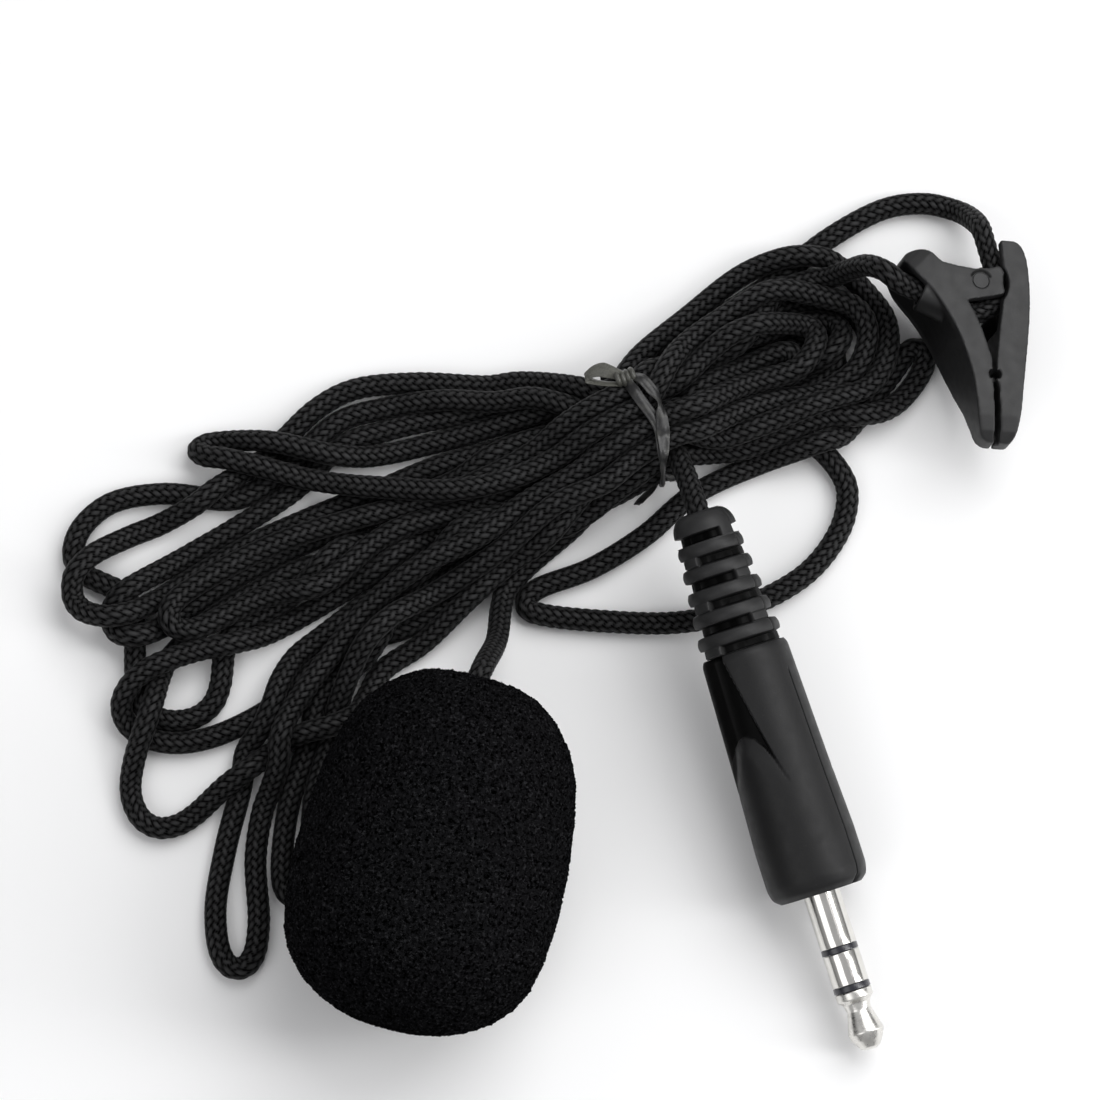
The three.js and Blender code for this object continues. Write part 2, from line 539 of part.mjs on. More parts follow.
function cordPlan() {
  return [
    ...fixed(inside(microphoneHead, [[0, -11.8, 0], [0, -14, 0], [0, -17.4, 0]])),
    ...lay([-13.2, -23.5, 10.6], [-12.4, -20, 6.8], [-11.6, -16, 3.8], [-8, -10.5, 3.4], [0, -4, 3]),
    // lower strands of the right side, turning behind the clip, then the low loop under the plug
    ...lay([13, -0.6, 2.6], [21, 0.8, 2], [26.3, 3.8, 1.1], [28.3, 6.6, 1.1], [27.2, 8.2, 1.1],
      [25, 6, 1.1], [22.5, 1.6, 1.1], [16, -1.8, 1.1], [10.5, -3.6, 1.1], [5, -7.6, 1.1], [-2.5, -13.5, 1.1],
      [-9.5, -15.8, 1.1], [-11.6, -17, 1.1], [-9.5, -18, 1.1], [-4, -18.8, 1.1], [1, -19.4, 1.1],
      [6.5, -18.8, 1.1], [12.5, -17, 1.1], [17, -14, 1.1], [20, -9.5, 1.1], [20, -4, 1.1],
      [16, -0.5, 1.1], [10, -1, 1.1], [0, -2.5, 1.1]),
    // long left loop beside the windscreen
    ...lay([-8.5, -7.5, 1.3], [-21, -17.5, 1.8], [-30, -28.5, 1.8], [-32.2, -35, 1.2], [-32.7, -42, 1.1],
      [-31.8, -46.4, 1.1], [-30.6, -43.5, 1.1], [-30.2, -36, 1.5], [-29.2, -29.5, 2.6], [-26.2, -23.8, 4],
      [-22, -18.6, 5.4], [-16.5, -16, 6.2], [-10, -11.5, 6.9], [0, -4.5, 7.4]),
    // outer right turn
    ...lay([12, 1, 5.6], [18, 2, 4.4], [22, 4, 3.6], [23, 7, 3.4], [22.3, 10, 3.7], [19.5, 12.3, 4.4],
      [15.5, 12.5, 5.4], [10, 9.5, 6.2], [0, 1.5, 7]),
    // top strand to the far left and back
    ...lay([-10, -5, 7], [-16, -7, 6.6], [-22, -7.4, 6.4], [-29, -6, 6.2], [-36, -4.8, 5.6],
      [-40.6, -3.4, 5.2], [-42, -2.6, 4.3], [-40.5, -1.9, 3.3], [-35, -2.5, 3.1], [-24, -3, 3.1],
      [-14.5, -0.6, 3.1], [-7.5, 1.6, 3.4], [0, 4, 3.4]),
    // up over the right side to the clip and back through its eye
    ...lay([7, 7.6, 3], [12, 12.4, 2.4], [17, 16.2, 1.5], [21, 19.4, 1.1], [25.3, 21.4, 1.1],
      [28.8, 21.4, 1.3]),
    ...throughClip(),
    ...lay([17.5, 13.2, 3.8], [13, 10.6, 4.6], [7, 5.8, 5], [0, 1.5, 5.2]),
    // middle left loop
    ...lay([-14.5, -6, 4.6], [-22, -8.4, 4.2], [-31, -11.3, 4], [-40.5, -15.8, 3.6], [-44.6, -18.4, 3.3],
      [-44.6, -20.3, 3.3], [-42, -20.6, 3.3], [-31.5, -15.7, 3.3], [-17, -9.3, 3.8], [0, 0, 4.8]),
    // small right turn
    ...lay([12, 6, 4.6], [16, 6.8, 4], [17.3, 5.7, 3.6], [16, 4.3, 3.6], [10.5, 2, 4.2], [0, -1.5, 6]),
    // long left loop on top
    ...lay([-8.5, -7.2, 6], [-22, -16, 4.4], [-28.5, -20, 3.4], [-32, -24.6, 2.4], [-34.5, -30.4, 1.5],
      [-36.8, -36.2, 1.1], [-38.3, -41, 1.1], [-38.9, -46, 1.1], [-38.7, -50.6, 1.1],
      [-37, -52.8, 1.1], [-35.1, -50.6, 1.1], [-35.4, -42, 1.1], [-34.2, -35.4, 1.8],
      [-33, -31, 2.8], [-31, -26.3, 4], [-27, -21, 5.2], [-22, -15.8, 6.2], [-14, -11, 7], [0, -2.6, 8.2]),
    // upper right turn
    ...lay([9.5, 1.2, 6.4], [14, 3.8, 4.8], [18, 6.2, 4], [18, 8.6, 4], [14, 9.2, 4.8], [8, 7, 6.2],
      [0, 1.5, 6.4]),
    // far left loop with the ring at its end
    ...lay([-7, 1.4, 5.4], [-14, 1.2, 4.2], [-22, 1.3, 3.4], [-27, 0.6, 3.3], [-31, -2.4, 2.6],
      [-38, -6.8, 1.1], [-44, -7, 1.1], [-48.5, -7.2, 1.1], [-51.8, -9.8, 1.1], [-53, -12.8, 1.1],
      [-51.6, -15.4, 1.1], [-48, -17.2, 1.1], [-46.4, -20, 1.1], [-47, -24, 1.1], [-46.8, -27, 1.1],
      [-43.5, -28.8, 1.1], [-40.2, -28, 1.1], [-38.4, -25, 1.1], [-38.6, -22, 1.1],
      [-36.8, -19, 1.1], [-27.5, -13.4, 1.6], [-10.5, -5, 2.6], [0, 1.4, 2.8]),
    // low right turn
    ...lay([11, 6.4, 1.8], [15, 8.2, 1.3], [18.2, 8, 1.1], [18.6, 5.8, 1.1], [12, 2, 1.1],
      [0, -2, 1.3]),
    // lower left loop
    ...lay([-13.5, -8.8, 1.3], [-22, -12.8, 1.8], [-28.5, -16.5, 2.4], [-36, -20.5, 2.8],
      [-43, -22.6, 3.2], [-46.2, -24.8, 3.4], [-47.7, -27.2, 3], [-46.8, -29.7, 1.9], [-43.5, -30.6, 1.1],
      [-36, -28.9, 1.1], [-25.5, -21.8, 1.1], [-12.5, -12.3, 1.4], [0, -3, 2.6]),
    // bottom right turn
    ...lay([13, 0.8, 1.6], [19, 2, 1.2], [22.6, 4.4, 1.1], [23.4, 7.4, 1.1], [22, 10.6, 1.1],
      [18.5, 12, 1.3], [13.5, 10.6, 1.5], [7, 6, 1.3], [0, 2, 1.1]),
    // long flat loop to the left and the right turn that follows it
    ...lay([-16, 0.6, 2.2], [-24.5, -0.8, 2.2], [-29, -3.4, 2.2], [-33, -7, 2.2], [-38, -10.5, 2.2],
      [-43.5, -14.2, 2.2], [-47, -17, 1.9], [-48.7, -19.6, 1.1], [-47.6, -21, 1.1],
      [-43.5, -18.4, 2.2], [-36, -13.6, 2.4], [-26.5, -9.6, 2.4], [0, 0.5, 4.4]),
    ...lay([11, 3.4, 3.6], [16.5, 5, 2.4], [20.2, 7.4, 2.2], [19.6, 10, 2.2], [15.5, 10.6, 3], [9, 8, 4],
      [0, 3.2, 4.6]),
    // leftmost loop
    ...lay([-14.5, -4.2, 1.1], [-29.5, -9.3, 1.3], [-42.5, -15.8, 1.9], [-47, -17.8, 2.9],
      [-50.5, -18.3, 2.8], [-53, -16.6, 2.9], [-52.2, -14, 3.2], [-49, -11.8, 3.3], [-41, -7.9, 3.3],
      [-37, -5.4, 3.4], [-33.3, -3, 3.4], [-31, 0, 2.6], [-28, 2.8, 2.2], [-22, 3.9, 2.2],
      [-15.5, 3.4, 3], [0, 5, 5]),
    // outermost right turn
    ...lay([7.5, 11.6, 5], [11.5, 14.8, 4.8], [16, 15.7, 4.8], [20, 14.3, 4.2], [23, 11.2, 3.9],
      [24, 7.2, 3.7], [23, 3.6, 3.7], [20.5, 1.4, 3.9], [15, 0.2, 4.2], [0, -4, 4.6]),
    // loop that hangs below on the left
    ...lay([-7.5, -9.6, 3.6], [-19, -19, 2.8], [-31.5, -30.4, 1.9], [-37, -34.2, 1.3], [-41.5, -37.8, 1.1],
      [-44.2, -39.2, 1.1], [-46.4, -37.9, 1.1], [-47.1, -35, 1.3], [-46.6, -32, 3], [-45.8, -29, 3.6],
      [-45, -25.5, 2], [-42.6, -21.6, 1.1], [-37, -17.3, 1.1], [-22, -12.8, 1.1], [-9, -10.4, 2.4],
      [-2.5, -6, 4.6], [1.2, -3.8, 6], [4.2, -3.1, 7.6], [5.8, -5, 9], [6, -7.6, 9.9]),
    ...fixed(inside(jackPlug, [[0, -37.6, 0], [0, -30, 0], [0, -24, 0], [0, -18.8, 0]])),
  ];
}

// Points at an even spacing along the plan, marked where they are held by a part.
function planPoints() {
  const plan = cordPlan();
  const curve = new THREE.CatmullRomCurve3(plan, false, 'centripetal');
  curve.arcLengthDivisions = plan.length * 40;
  const count = Math.round(curve.getLength() / CORD_SPACING);
  const points = [];
  for (let i = 0; i <= count; i += 1) {
    const t = curve.getUtoTmapping(i / count);
    const k = Math.min(plan.length - 2, Math.floor(t * (plan.length - 1)));
    const point = curve.getPoint(t);
    point.held = Boolean(plan[k].held && plan[k + 1].held);
    points.push(point);
  }
  return points;
}

const bundleAlong = vec(Math.cos(rad(TIE.heading)), Math.sin(rad(TIE.heading)), 0);
const bundleAcross = vec(-bundleAlong.y, bundleAlong.x, 0);

// Keeps the strands inside the twist tie.
function squeeze(p) {
  const along = Math.abs(p.dot(bundleAlong));
  if (along > TIE.reach) return;
  const across = p.dot(bundleAcross) - TIE.middle;
  if (Math.abs(across) > TIE.halfWidth + 1) return;
  const height = p.z - TIE.top / 2;
  const limit = Math.hypot(across / (TIE.halfWidth - CORD_RADIUS), height / (TIE.top / 2 - CORD_RADIUS));
  p.z = Math.max(p.z, CORD_RADIUS + TIE_LIFT);
  if (limit <= 1) return;
  const pull = 0.35 * (1 - 1 / limit);
  p.addScaledVector(bundleAcross, -across * pull);
  p.z -= height * pull;
}

// Parts that the loose cord cannot run through: a line with a radius at each end.
function keepOut(p, node, from, to, radiusFrom, radiusTo) {
  const local = node.worldToLocal(p.clone());
  const t = THREE.MathUtils.clamp((local.y - from) / (to - from), 0, 1);
  const nearest = vec(0, THREE.MathUtils.lerp(from, to, t), 0);
  const radius = THREE.MathUtils.lerp(radiusFrom, radiusTo, t) + CORD_RADIUS + 0.1;
  const away = local.sub(nearest);
  if (away.length() >= radius) return;
  p.copy(node.localToWorld(away.setLength(radius).add(nearest)));
}

function keepOutOfWindscreen(p) {
  const local = microphoneHead.worldToLocal(p.clone());
  const radius = Math.hypot(local.x, local.z);
  const reach = Math.hypot(radius / (FOAM.radius + CORD_RADIUS + 0.1),
    local.y / (FOAM.length / 2 + CORD_RADIUS + 0.1));
  if (reach < 1) p.copy(microphoneHead.localToWorld(local.divideScalar(reach)));
}

function settle(points) {
  const plan = points.map((p) => p.clone());
  const gap = 2 * CORD_RADIUS + 0.03;
  const near = Math.ceil((1.6 * gap) / CORD_SPACING);
  const last = points.length - 1;
  const push = vec();
  const cell = (v) => Math.floor(v / gap);
  const key = (x, y, z) => (x + 200) * 160000 + (y + 200) * 400 + z + 200;
  for (let round = 0; round < SETTLE_ROUNDS; round += 1) {
    const late = round / SETTLE_ROUNDS;
    const follow = 0.05 * (1 - late) + 0.002;
    const bend = points.map((p, i) => {
      if (i < 2 || i > last - 2) return null;
      return vec().addScaledVector(p, -6).addScaledVector(points[i - 1], 4).addScaledVector(points[i + 1], 4)
        .sub(points[i - 2]).sub(points[i + 2]).multiplyScalar(0.09);
    });
    points.forEach((p, i) => {
      if (p.held) return;
      if (bend[i]) p.add(bend[i]);
      p.x += follow * (plan[i].x - p.x);
      p.y += follow * (plan[i].y - p.y);
      p.z += 0.3 * follow * (plan[i].z - p.z) - 0.02 * (late < 0.9 ? 1 : 0);
      squeeze(p);
      if (i > 22) keepOutOfWindscreen(p);
      if (i < last - 30) {
        keepOut(p, jackPlug, -HANDLE.length - BOOT.length, -HANDLE.length, BOOT.rearRadius, BOOT.frontRadius);
        keepOut(p, jackPlug, -HANDLE.length, 0, HANDLE.rearRadius, HANDLE.frontRadius);
      }
      p.z = Math.max(p.z, CORD_RADIUS);
    });
    const cells = new Map();
    points.forEach((p, i) => {
      const k = key(cell(p.x), cell(p.y), cell(p.z));
      if (!cells.has(k)) cells.set(k, []);
      cells.get(k).push(i);
    });
    points.forEach((p, i) => {
      const [cx, cy, cz] = [cell(p.x), cell(p.y), cell(p.z)];
      for (let x = cx - 1; x <= cx + 1; x += 1) {
        for (let y = cy - 1; y <= cy + 1; y += 1) {
          for (let z = cz - 1; z <= cz + 1; z += 1) {
            for (const j of cells.get(key(x, y, z)) ?? []) {
              if (j <= i + near) continue;
              const q = points[j];
              push.subVectors(q, p);
              const distance = push.length();
              if (distance >= gap || distance === 0) continue;
              push.multiplyScalar((0.5 * (gap - distance)) / distance);
              if (p.held) q.add(push);
              if (q.held) p.sub(push);
              if (!p.held && !q.held) {
                q.add(push);
                p.sub(push);
              }
            }
          }
        }
      }
    });
  }
  for (const p of points) {
    if (!p.held) p.z = Math.max(p.z, CORD_RADIUS);
  }
  return points;
}

// Stations close together in the tight bends and far apart on the straight runs.
function stations(points) {
  const kept = [points[0]];
  let turn = 0;
  let run = 0;
  for (let i = 1; i < points.length - 1; i += 1) {
    const a = points[i].clone().sub(points[i - 1]);
    const b = points[i + 1].clone().sub(points[i]);
    turn += a.angleTo(b);
    run += a.length();
    if (run > 6 || (turn > rad(20) && run > 0.9) || points[i].held !== points[i + 1].held) {
      kept.push(points[i]);
      turn = 0;
      run = 0;
    }
  }
  kept.push(points[points.length - 1]);
  return kept;
}

const settled = settle(planPoints());

const cord = part('braided_cord', wire(stations(settled), CORD_RADIUS), braidBlack);

// ---------------------------------------------------------------- twist tie
// A flat ribbon wound twice round the bundle, with its ends twisted together at the top left.

// Outline of the bundle in the plane of the tie, as a support line in every direction.
function bundleReach(along, angle) {
  const [c, s] = [Math.cos(angle), Math.sin(angle)];
  let reach = -Infinity;
  for (const p of settled) {
    if (Math.abs(p.dot(bundleAlong) - along) > 1.2) continue;
    if (Math.abs(p.dot(bundleAcross) - TIE.middle) > TIE.halfWidth + 1) continue;
    reach = Math.max(reach, p.dot(bundleAcross) * c + p.z * s);
  }
  return reach + CORD_RADIUS + TIE.thick / 2 + 0.12;
}

function tiePath() {
  const steps = 20; // to a turn
  const start = rad(20);
  const count = 1.55 * steps;
  const at = (across, height, along) => vec(0, 0, height).addScaledVector(bundleAcross, across)
    .addScaledVector(bundleAlong, along);
  const band = [];
  for (let i = 0; i <= count; i += 1) {
    const along = -1.2 + (1.8 * i) / count;
    const [a, b] = [start + (2 * Math.PI * i) / steps, start + (2 * Math.PI * (i + 1)) / steps];
    const [ra, rb] = [bundleReach(along, a), bundleReach(along, b)];
    const det = Math.sin(b - a);
    band.push(at((ra * Math.sin(b) - rb * Math.sin(a)) / det, (rb * Math.cos(a) - ra * Math.cos(b)) / det,
      along));
  }
  const from = (p, ...offsets) => offsets.map((offset) => p.clone().add(at(...offset)));
  return [
    ...from(band[0], [0.9, 3, -3.4], [1.5, 2.9, -2.5], [1.6, 2.1, -1.4], [0.9, 0.9, -0.5]),
    ...band.slice(1),
    ...from(band[band.length - 1], [-0.9, -0.5, -0.2], [-1.6, -0.5, -0.8]),
  ];
}

const tie = part('twist_tie', wire(tiePath(), TIE.thick / 2, 6), tieBlack);

// ---------------------------------------------------------------- assembly

const assembly = group('lavalier_microphone', microphoneHead, cord, tie, springClip, jackPlug);
assembly.updateMatrixWorld(true);
const bounds = new THREE.Box3().setFromObject(assembly, true);
const middle = bounds.getCenter(vec());
assembly.position.set(-middle.x, -middle.y, -bounds.min.z);

export default assembly;
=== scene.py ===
import json
import math

import bpy
import numpy as np
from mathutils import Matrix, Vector


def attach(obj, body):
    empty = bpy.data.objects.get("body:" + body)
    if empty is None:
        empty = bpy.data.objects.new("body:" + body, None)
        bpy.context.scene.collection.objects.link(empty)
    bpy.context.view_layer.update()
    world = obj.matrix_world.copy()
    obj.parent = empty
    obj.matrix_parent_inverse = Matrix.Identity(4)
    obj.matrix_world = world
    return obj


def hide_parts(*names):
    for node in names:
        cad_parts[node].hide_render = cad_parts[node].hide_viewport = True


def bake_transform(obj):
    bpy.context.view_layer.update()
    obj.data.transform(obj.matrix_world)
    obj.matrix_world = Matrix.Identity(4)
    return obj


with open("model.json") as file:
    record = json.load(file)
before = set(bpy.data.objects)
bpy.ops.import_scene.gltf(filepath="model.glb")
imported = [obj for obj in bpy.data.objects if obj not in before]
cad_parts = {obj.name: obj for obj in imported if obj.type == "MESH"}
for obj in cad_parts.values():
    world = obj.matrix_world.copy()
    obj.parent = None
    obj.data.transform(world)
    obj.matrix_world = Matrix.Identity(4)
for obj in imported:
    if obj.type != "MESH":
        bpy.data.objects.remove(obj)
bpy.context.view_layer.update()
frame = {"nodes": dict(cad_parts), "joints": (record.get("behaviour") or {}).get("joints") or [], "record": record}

MM = 0.001  # every shape below is worked out in millimetres
RNG = np.random.default_rng(20)

ROOT, SCREEN, LEVER = "cord_and_clip", "windscreen", "clip_lever"
JOINTS = {j["name"]: j for j in frame["joints"]}
MOUNTS = {m["name"]: m for m in frame["record"]["mounts"]}

CORD_RADIUS = 1.05
CORD_SIDES = 6  # of the CAD cord's section


# ------------------------------------------------------------------ meshes

def cad_mesh(node):
    """Vertices in millimetres and triangles of a CAD node, with vertices that share a place merged."""
    data = frame["nodes"][node].data
    data.calc_loop_triangles()
    co = np.zeros(len(data.vertices) * 3)
    data.vertices.foreach_get("co", co)
    co = co.reshape(-1, 3) / MM
    tri = np.zeros(len(data.loop_triangles) * 3, np.int32)
    data.loop_triangles.foreach_get("vertices", tri)
    _, first, back = np.unique(np.round(co, 3), axis=0, return_index=True, return_inverse=True)
    tri = back.reshape(-1)[tri.reshape(-1, 3)]
    flat = (tri[:, 0] == tri[:, 1]) | (tri[:, 1] == tri[:, 2]) | (tri[:, 0] == tri[:, 2])
    return co[first], tri[~flat]


def signed_volume(co, faces):
    """Six times the volume, negative when the faces look inwards."""
    total = 0.0
    for f in faces:
        for k in range(1, f.shape[1] - 1):
            a, b, c = co[f[:, 0]], co[f[:, k]], co[f[:, k + 1]]
            total += np.einsum("ij,ij->", a, np.cross(b, c))
    return total


def new_piece(name, co, faces, body, material, stands_for=(), marks=None):
    """A smooth mesh from millimetre points and arrays of quads and triangles.

    It rides on the body if one is given, and marks are values for each point that its material reads.
    """
    if signed_volume(co, faces) < 0:
        faces = [f[:, ::-1] for f in faces]
    mesh = bpy.data.meshes.new(name)
    loops = np.concatenate([f.ravel() for f in faces]).astype(np.int32)
    sizes = np.concatenate([np.full(len(f), f.shape[1]) for f in faces])
    starts = np.concatenate([[0], np.cumsum(sizes)[:-1]]).astype(np.int32)
    mesh.vertices.add(len(co))
    mesh.vertices.foreach_set("co", (co * MM).astype(np.float32).ravel())
    mesh.loops.add(len(loops))
    mesh.loops.foreach_set("vertex_index", loops)
    mesh.polygons.add(len(sizes))
    mesh.polygons.foreach_set("loop_start", starts)
    mesh.update(calc_edges=True)
    mesh.validate()
    mesh.polygons.foreach_set("use_smooth", np.ones(len(mesh.polygons), bool))
    for mark, values in (marks or {}).items():
        attribute = mesh.attributes.new(mark, "FLOAT", "POINT")
        attribute.data.foreach_set("value", values.astype(np.float32).ravel())
    mesh.materials.append(material)
    obj = bpy.data.objects.new(name, mesh)
    bpy.context.scene.collection.objects.link(obj)
    if body:
        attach(obj, body)
    if stands_for:
        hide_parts(*stands_for)
    return obj


def grid_faces(rows, around, wrap=False):
    """Quads of a grid of rows, closed round each row, and from the last row to the first if wrap is true."""
    i, j = np.meshgrid(np.arange(rows if wrap else rows - 1), np.arange(around), indexing="ij")
    k, n = (i + 1) % rows, (j + 1) % around
    return np.stack([i * around + j, i * around + n, k * around + n, k * around + j], -1).reshape(-1, 4)


def capped(grid):
    """Points and faces of a grid of rings with a fan over each end."""
    rows, around, _ = grid.shape
    co = np.vstack([grid.reshape(-1, 3), grid[0].mean(0), grid[-1].mean(0)])
    j = np.arange(around)
    n = (j + 1) % around
    last = (rows - 1) * around
    fans = [np.stack([n, j, np.full(around, rows * around)], -1),
            np.stack([last + j, last + n, np.full(around, rows * around + 1)], -1)]
    return co, [grid_faces(rows, around), *fans]


# ------------------------------------------------------------------ curves

def unit(v):
    """The vector, or each row of vectors, at length 1."""
    return v / np.linalg.norm(v, axis=-1, keepdims=True)


def smooth_step(value, low, high):
    """0 below low and 1 above high, with a smooth rise between them."""
    t = np.clip((value - low) / (high - low), 0, 1)
    return t * t * (3 - 2 * t)


def end_ring(co, tri, near, sides):
    """Vertices of the first flat, round and closed ring with this many sides at an end of a swept node."""
    for t in tri:
        if min(len(near[v]) for v in t) != 4:
            continue
        a, b, c = co[t]
        ab, ac = b - a, c - a
        normal = np.cross(ab, ac)
        centre = np.cross(normal, ab) * (ac @ ac) + np.cross(ac, normal) * (ab @ ab)
        centre = a + centre / (2 * normal @ normal)
        off = co - centre
        round_it = abs(np.linalg.norm(off, axis=1) - np.linalg.norm(a - centre)) < 0.01
        ring = np.flatnonzero(round_it & (abs(off @ unit(normal)) < 0.004))
        centred = np.linalg.norm(co[ring].mean(0) - centre) < 0.01
        if len(ring) == sides and centred and all(len(near[v] & set(ring)) >= 2 for v in ring):
            return {int(v) for v in ring}
    raise ValueError("no end ring was found")


def ring_centres(node, sides):
    """Centres and sizes of the rings of a swept CAD node, in order from one end to the other."""
    co, tri = cad_mesh(node)
    near = [set() for _ in co]
    for a, b, c in tri:
        near[a] |= {b, c}
        near[b] |= {a, c}
        near[c] |= {a, b}
    first = end_ring(co, tri, near, sides)
    layers, seen = [first], set(first)
    while True:
        nxt = set().union(*(near[v] for v in layers[-1])) - seen
        if not nxt:
            break
        layers.append(nxt)
        seen |= nxt
    return np.array([co[list(layer)].mean(0) for layer in layers]), [len(layer) for layer in layers]


def smooth_curve(points, step, rounds=3):
    """A centripetal spline through the points, as points at an even step."""
    p = np.vstack([2 * points[0] - points[1], points, 2 * points[-1] - points[-2]])
    t = np.concatenate([[0], np.cumsum(np.sqrt(np.linalg.norm(np.diff(p, axis=0), axis=1)))])
    fine = []
    for i in range(1, len(p) - 2):
        count = max(3, int(4 * np.linalg.norm(p[i + 1] - p[i]) / step))
        u = np.linspace(t[i], t[i + 1], count, endpoint=False)[:, None]

        def mix(a, b, ta, tb):
            return ((tb - u) * a + (u - ta) * b) / (tb - ta)

        a1 = mix(p[i - 1], p[i], t[i - 1], t[i])
        a2 = mix(p[i], p[i + 1], t[i], t[i + 1])
        a3 = mix(p[i + 1], p[i + 2], t[i + 1], t[i + 2])
        b1 = mix(a1, a2, t[i - 1], t[i + 1])
        b2 = mix(a2, a3, t[i], t[i + 2])
        fine.append(mix(b1, b2, t[i], t[i + 1]))
    fine.append(p[-2:-1])
    fine = np.vstack(fine)
    run = np.concatenate([[0], np.cumsum(np.linalg.norm(np.diff(fine, axis=0), axis=1))])
    at = np.linspace(0, run[-1], int(round(run[-1] / step)) + 1)
    even = np.stack([np.interp(at, run, fine[:, k]) for k in range(3)], -1)
    for _ in range(rounds):
        even[1:-1] = (even[:-2] + 2 * even[1:-1] + even[2:]) / 4
    return even


def turning_frames(points):
    """Two cross directions along a curve, carried along it without twisting."""
    tangent = unit(np.gradient(points, axis=0))
    side = unit(np.cross(tangent[0], [0, 0, 1.0]))
    sides = np.empty_like(points)
    sides[0] = side
    for i in range(len(points) - 1):
        v1 = points[i + 1] - points[i]
        c1 = v1 @ v1
        left = side - v1 * (2 / c1 * (v1 @ side))
        along = tangent[i] - v1 * (2 / c1 * (v1 @ tangent[i]))
        v2 = tangent[i + 1] - along
        c2 = v2 @ v2
        side = left - v2 * (2 / c2 * (v2 @ left)) if c2 > 1e-12 else left
        sides[i + 1] = side
    return sides, np.cross(tangent, sides)


def tube_along(points, radius, around):
    """Rings round a curve; radius is a number or an array of rows by around."""
    side, up = turning_frames(points)
    a = 2 * np.pi * np.arange(around) / around
    r = np.broadcast_to(radius, (len(points), around))[..., None]
    return (points[:, None] + r * (np.cos(a)[None, :, None] * side[:, None]
                                   + np.sin(a)[None, :, None] * up[:, None]))


# ------------------------------------------------------------------ local frames

class Axes:
    """A place and three directions, for shapes that are worked out in a frame of their own."""

    def __init__(self, origin, x, y, z):
        self.origin = np.array(origin, float)
        self.turn = np.array([x, y, z], float)  # rows are the directions

    def out(self, local):
        """Points of this frame, in the frame that the CAD uses."""
        return np.asarray(local, float) @ self.turn + self.origin

    def local(self, points):
        """Points of the CAD's frame, in this one."""
        return (np.asarray(points, float) - self.origin) @ self.turn.T


def axes_along(node, axis, towards, level=None):
    """Axes on a turned CAD node: Y along its own axis, X towards a place, the origin level with a place."""
    co, _ = cad_mesh(node)
    y = unit(np.array(axis, float))
    side = co - np.outer(co @ y, y)
    centre = (side.min(0) + side.max(0)) / 2
    x = np.array(towards, float) - centre
    x = unit(x - y * (x @ y))
    if level is not None:
        centre = centre + y * ((level - centre) @ y)
    return Axes(centre, x, y, np.cross(x, y))


# ------------------------------------------------------------------ node materials

class Shader:
    """Builds one node material; every call returns an output socket."""

    def __init__(self, name, **settings):
        self.material = bpy.data.materials.new(name)
        self.material.use_nodes = True
        self.tree = self.material.node_tree
        self.tree.nodes.clear()
        out = self.tree.nodes.new("ShaderNodeOutputMaterial")
        self.bsdf = self.tree.nodes.new("ShaderNodeBsdfPrincipled")
        self.tree.links.new(self.bsdf.outputs[0], out.inputs["Surface"])
        self.place = self.tree.nodes.new("ShaderNodeTexCoord").outputs["Object"]
        self.set(**settings)

    def plug(self, socket, value):
        if isinstance(value, bpy.types.NodeSocket):
            self.tree.links.new(value, socket)
        elif isinstance(value, (tuple, list)) and len(value) == 3 and socket.type == "RGBA":
            socket.default_value = (*value, 1)
        else:
            socket.default_value = value

    def set(self, **inputs):
        """Sets or connects inputs of the surface, with underscores for the spaces in their names."""
        for key, value in inputs.items():
            self.plug(self.bsdf.inputs[key.replace("_", " ")], value)
        return self.material

    def add(self, kind, output=0, props=None, **inputs):
        """A node; its inputs go by name, or as i0, i1 and so on by number."""
        node = self.tree.nodes.new("ShaderNode" + kind)
        for key, value in (props or {}).items():
            setattr(node, key, value)
        for key, value in inputs.items():
            self.plug(node.inputs[int(key[1:]) if key[1:].isdigit() else key.replace("_", " ")], value)
        return node.outputs[output]

    def math(self, operation, a, b=0.0):
        return self.add("Math", props={"operation": operation}, i0=a, i1=b)

    def mark(self, name):
        """The value of a mark that the mesh carries, and 0 where it carries none."""
        return self.add("Attribute", "Fac", props={"attribute_name": name})

    def noise(self, per_mm, detail, rough=0.5, stretch=None):
        """Cloudy noise; stretch makes it finer or coarser along each of the three directions."""
        at = self.place
        if stretch:
            at = self.add("VectorMath", props={"operation": "MULTIPLY"}, i0=at, i1=stretch)
        return self.add("TexNoise", Vector=at, Scale=per_mm / MM if stretch is None else per_mm,
                        Detail=detail, Roughness=rough)

    def cells(self, per_mm, feature):
        return self.add("TexVoronoi", props={"feature": feature}, Vector=self.place, Scale=per_mm / MM)

    def levels(self, value, low, high, to_low=0.0, to_high=1.0):
        """The value with low and high moved to two others, and nothing beyond them."""
        return self.add("MapRange", Value=value, From_Min=low, From_Max=high,
                        To_Min=to_low, To_Max=to_high)

    def mix(self, share, a, b):
        """Colour a where the share is 0, and b where it is 1."""
        node = self.tree.nodes.new("ShaderNodeMix")
        node.data_type = "RGBA"
        self.plug(node.inputs[0], share)
        self.plug(node.inputs[6], a)
        self.plug(node.inputs[7], b)
        return node.outputs[2]

    def bump(self, height, depth_mm, strength=1.0):
        return self.add("Bump", Height=height, Distance=depth_mm * MM, Strength=strength)


GRAIN_SIZE = 0.12  # of moulded surfaces


def grey(v, blue=0.0):
    """A grey, with a little more or less blue in it."""
    return (v, v, v * (1 + blue))


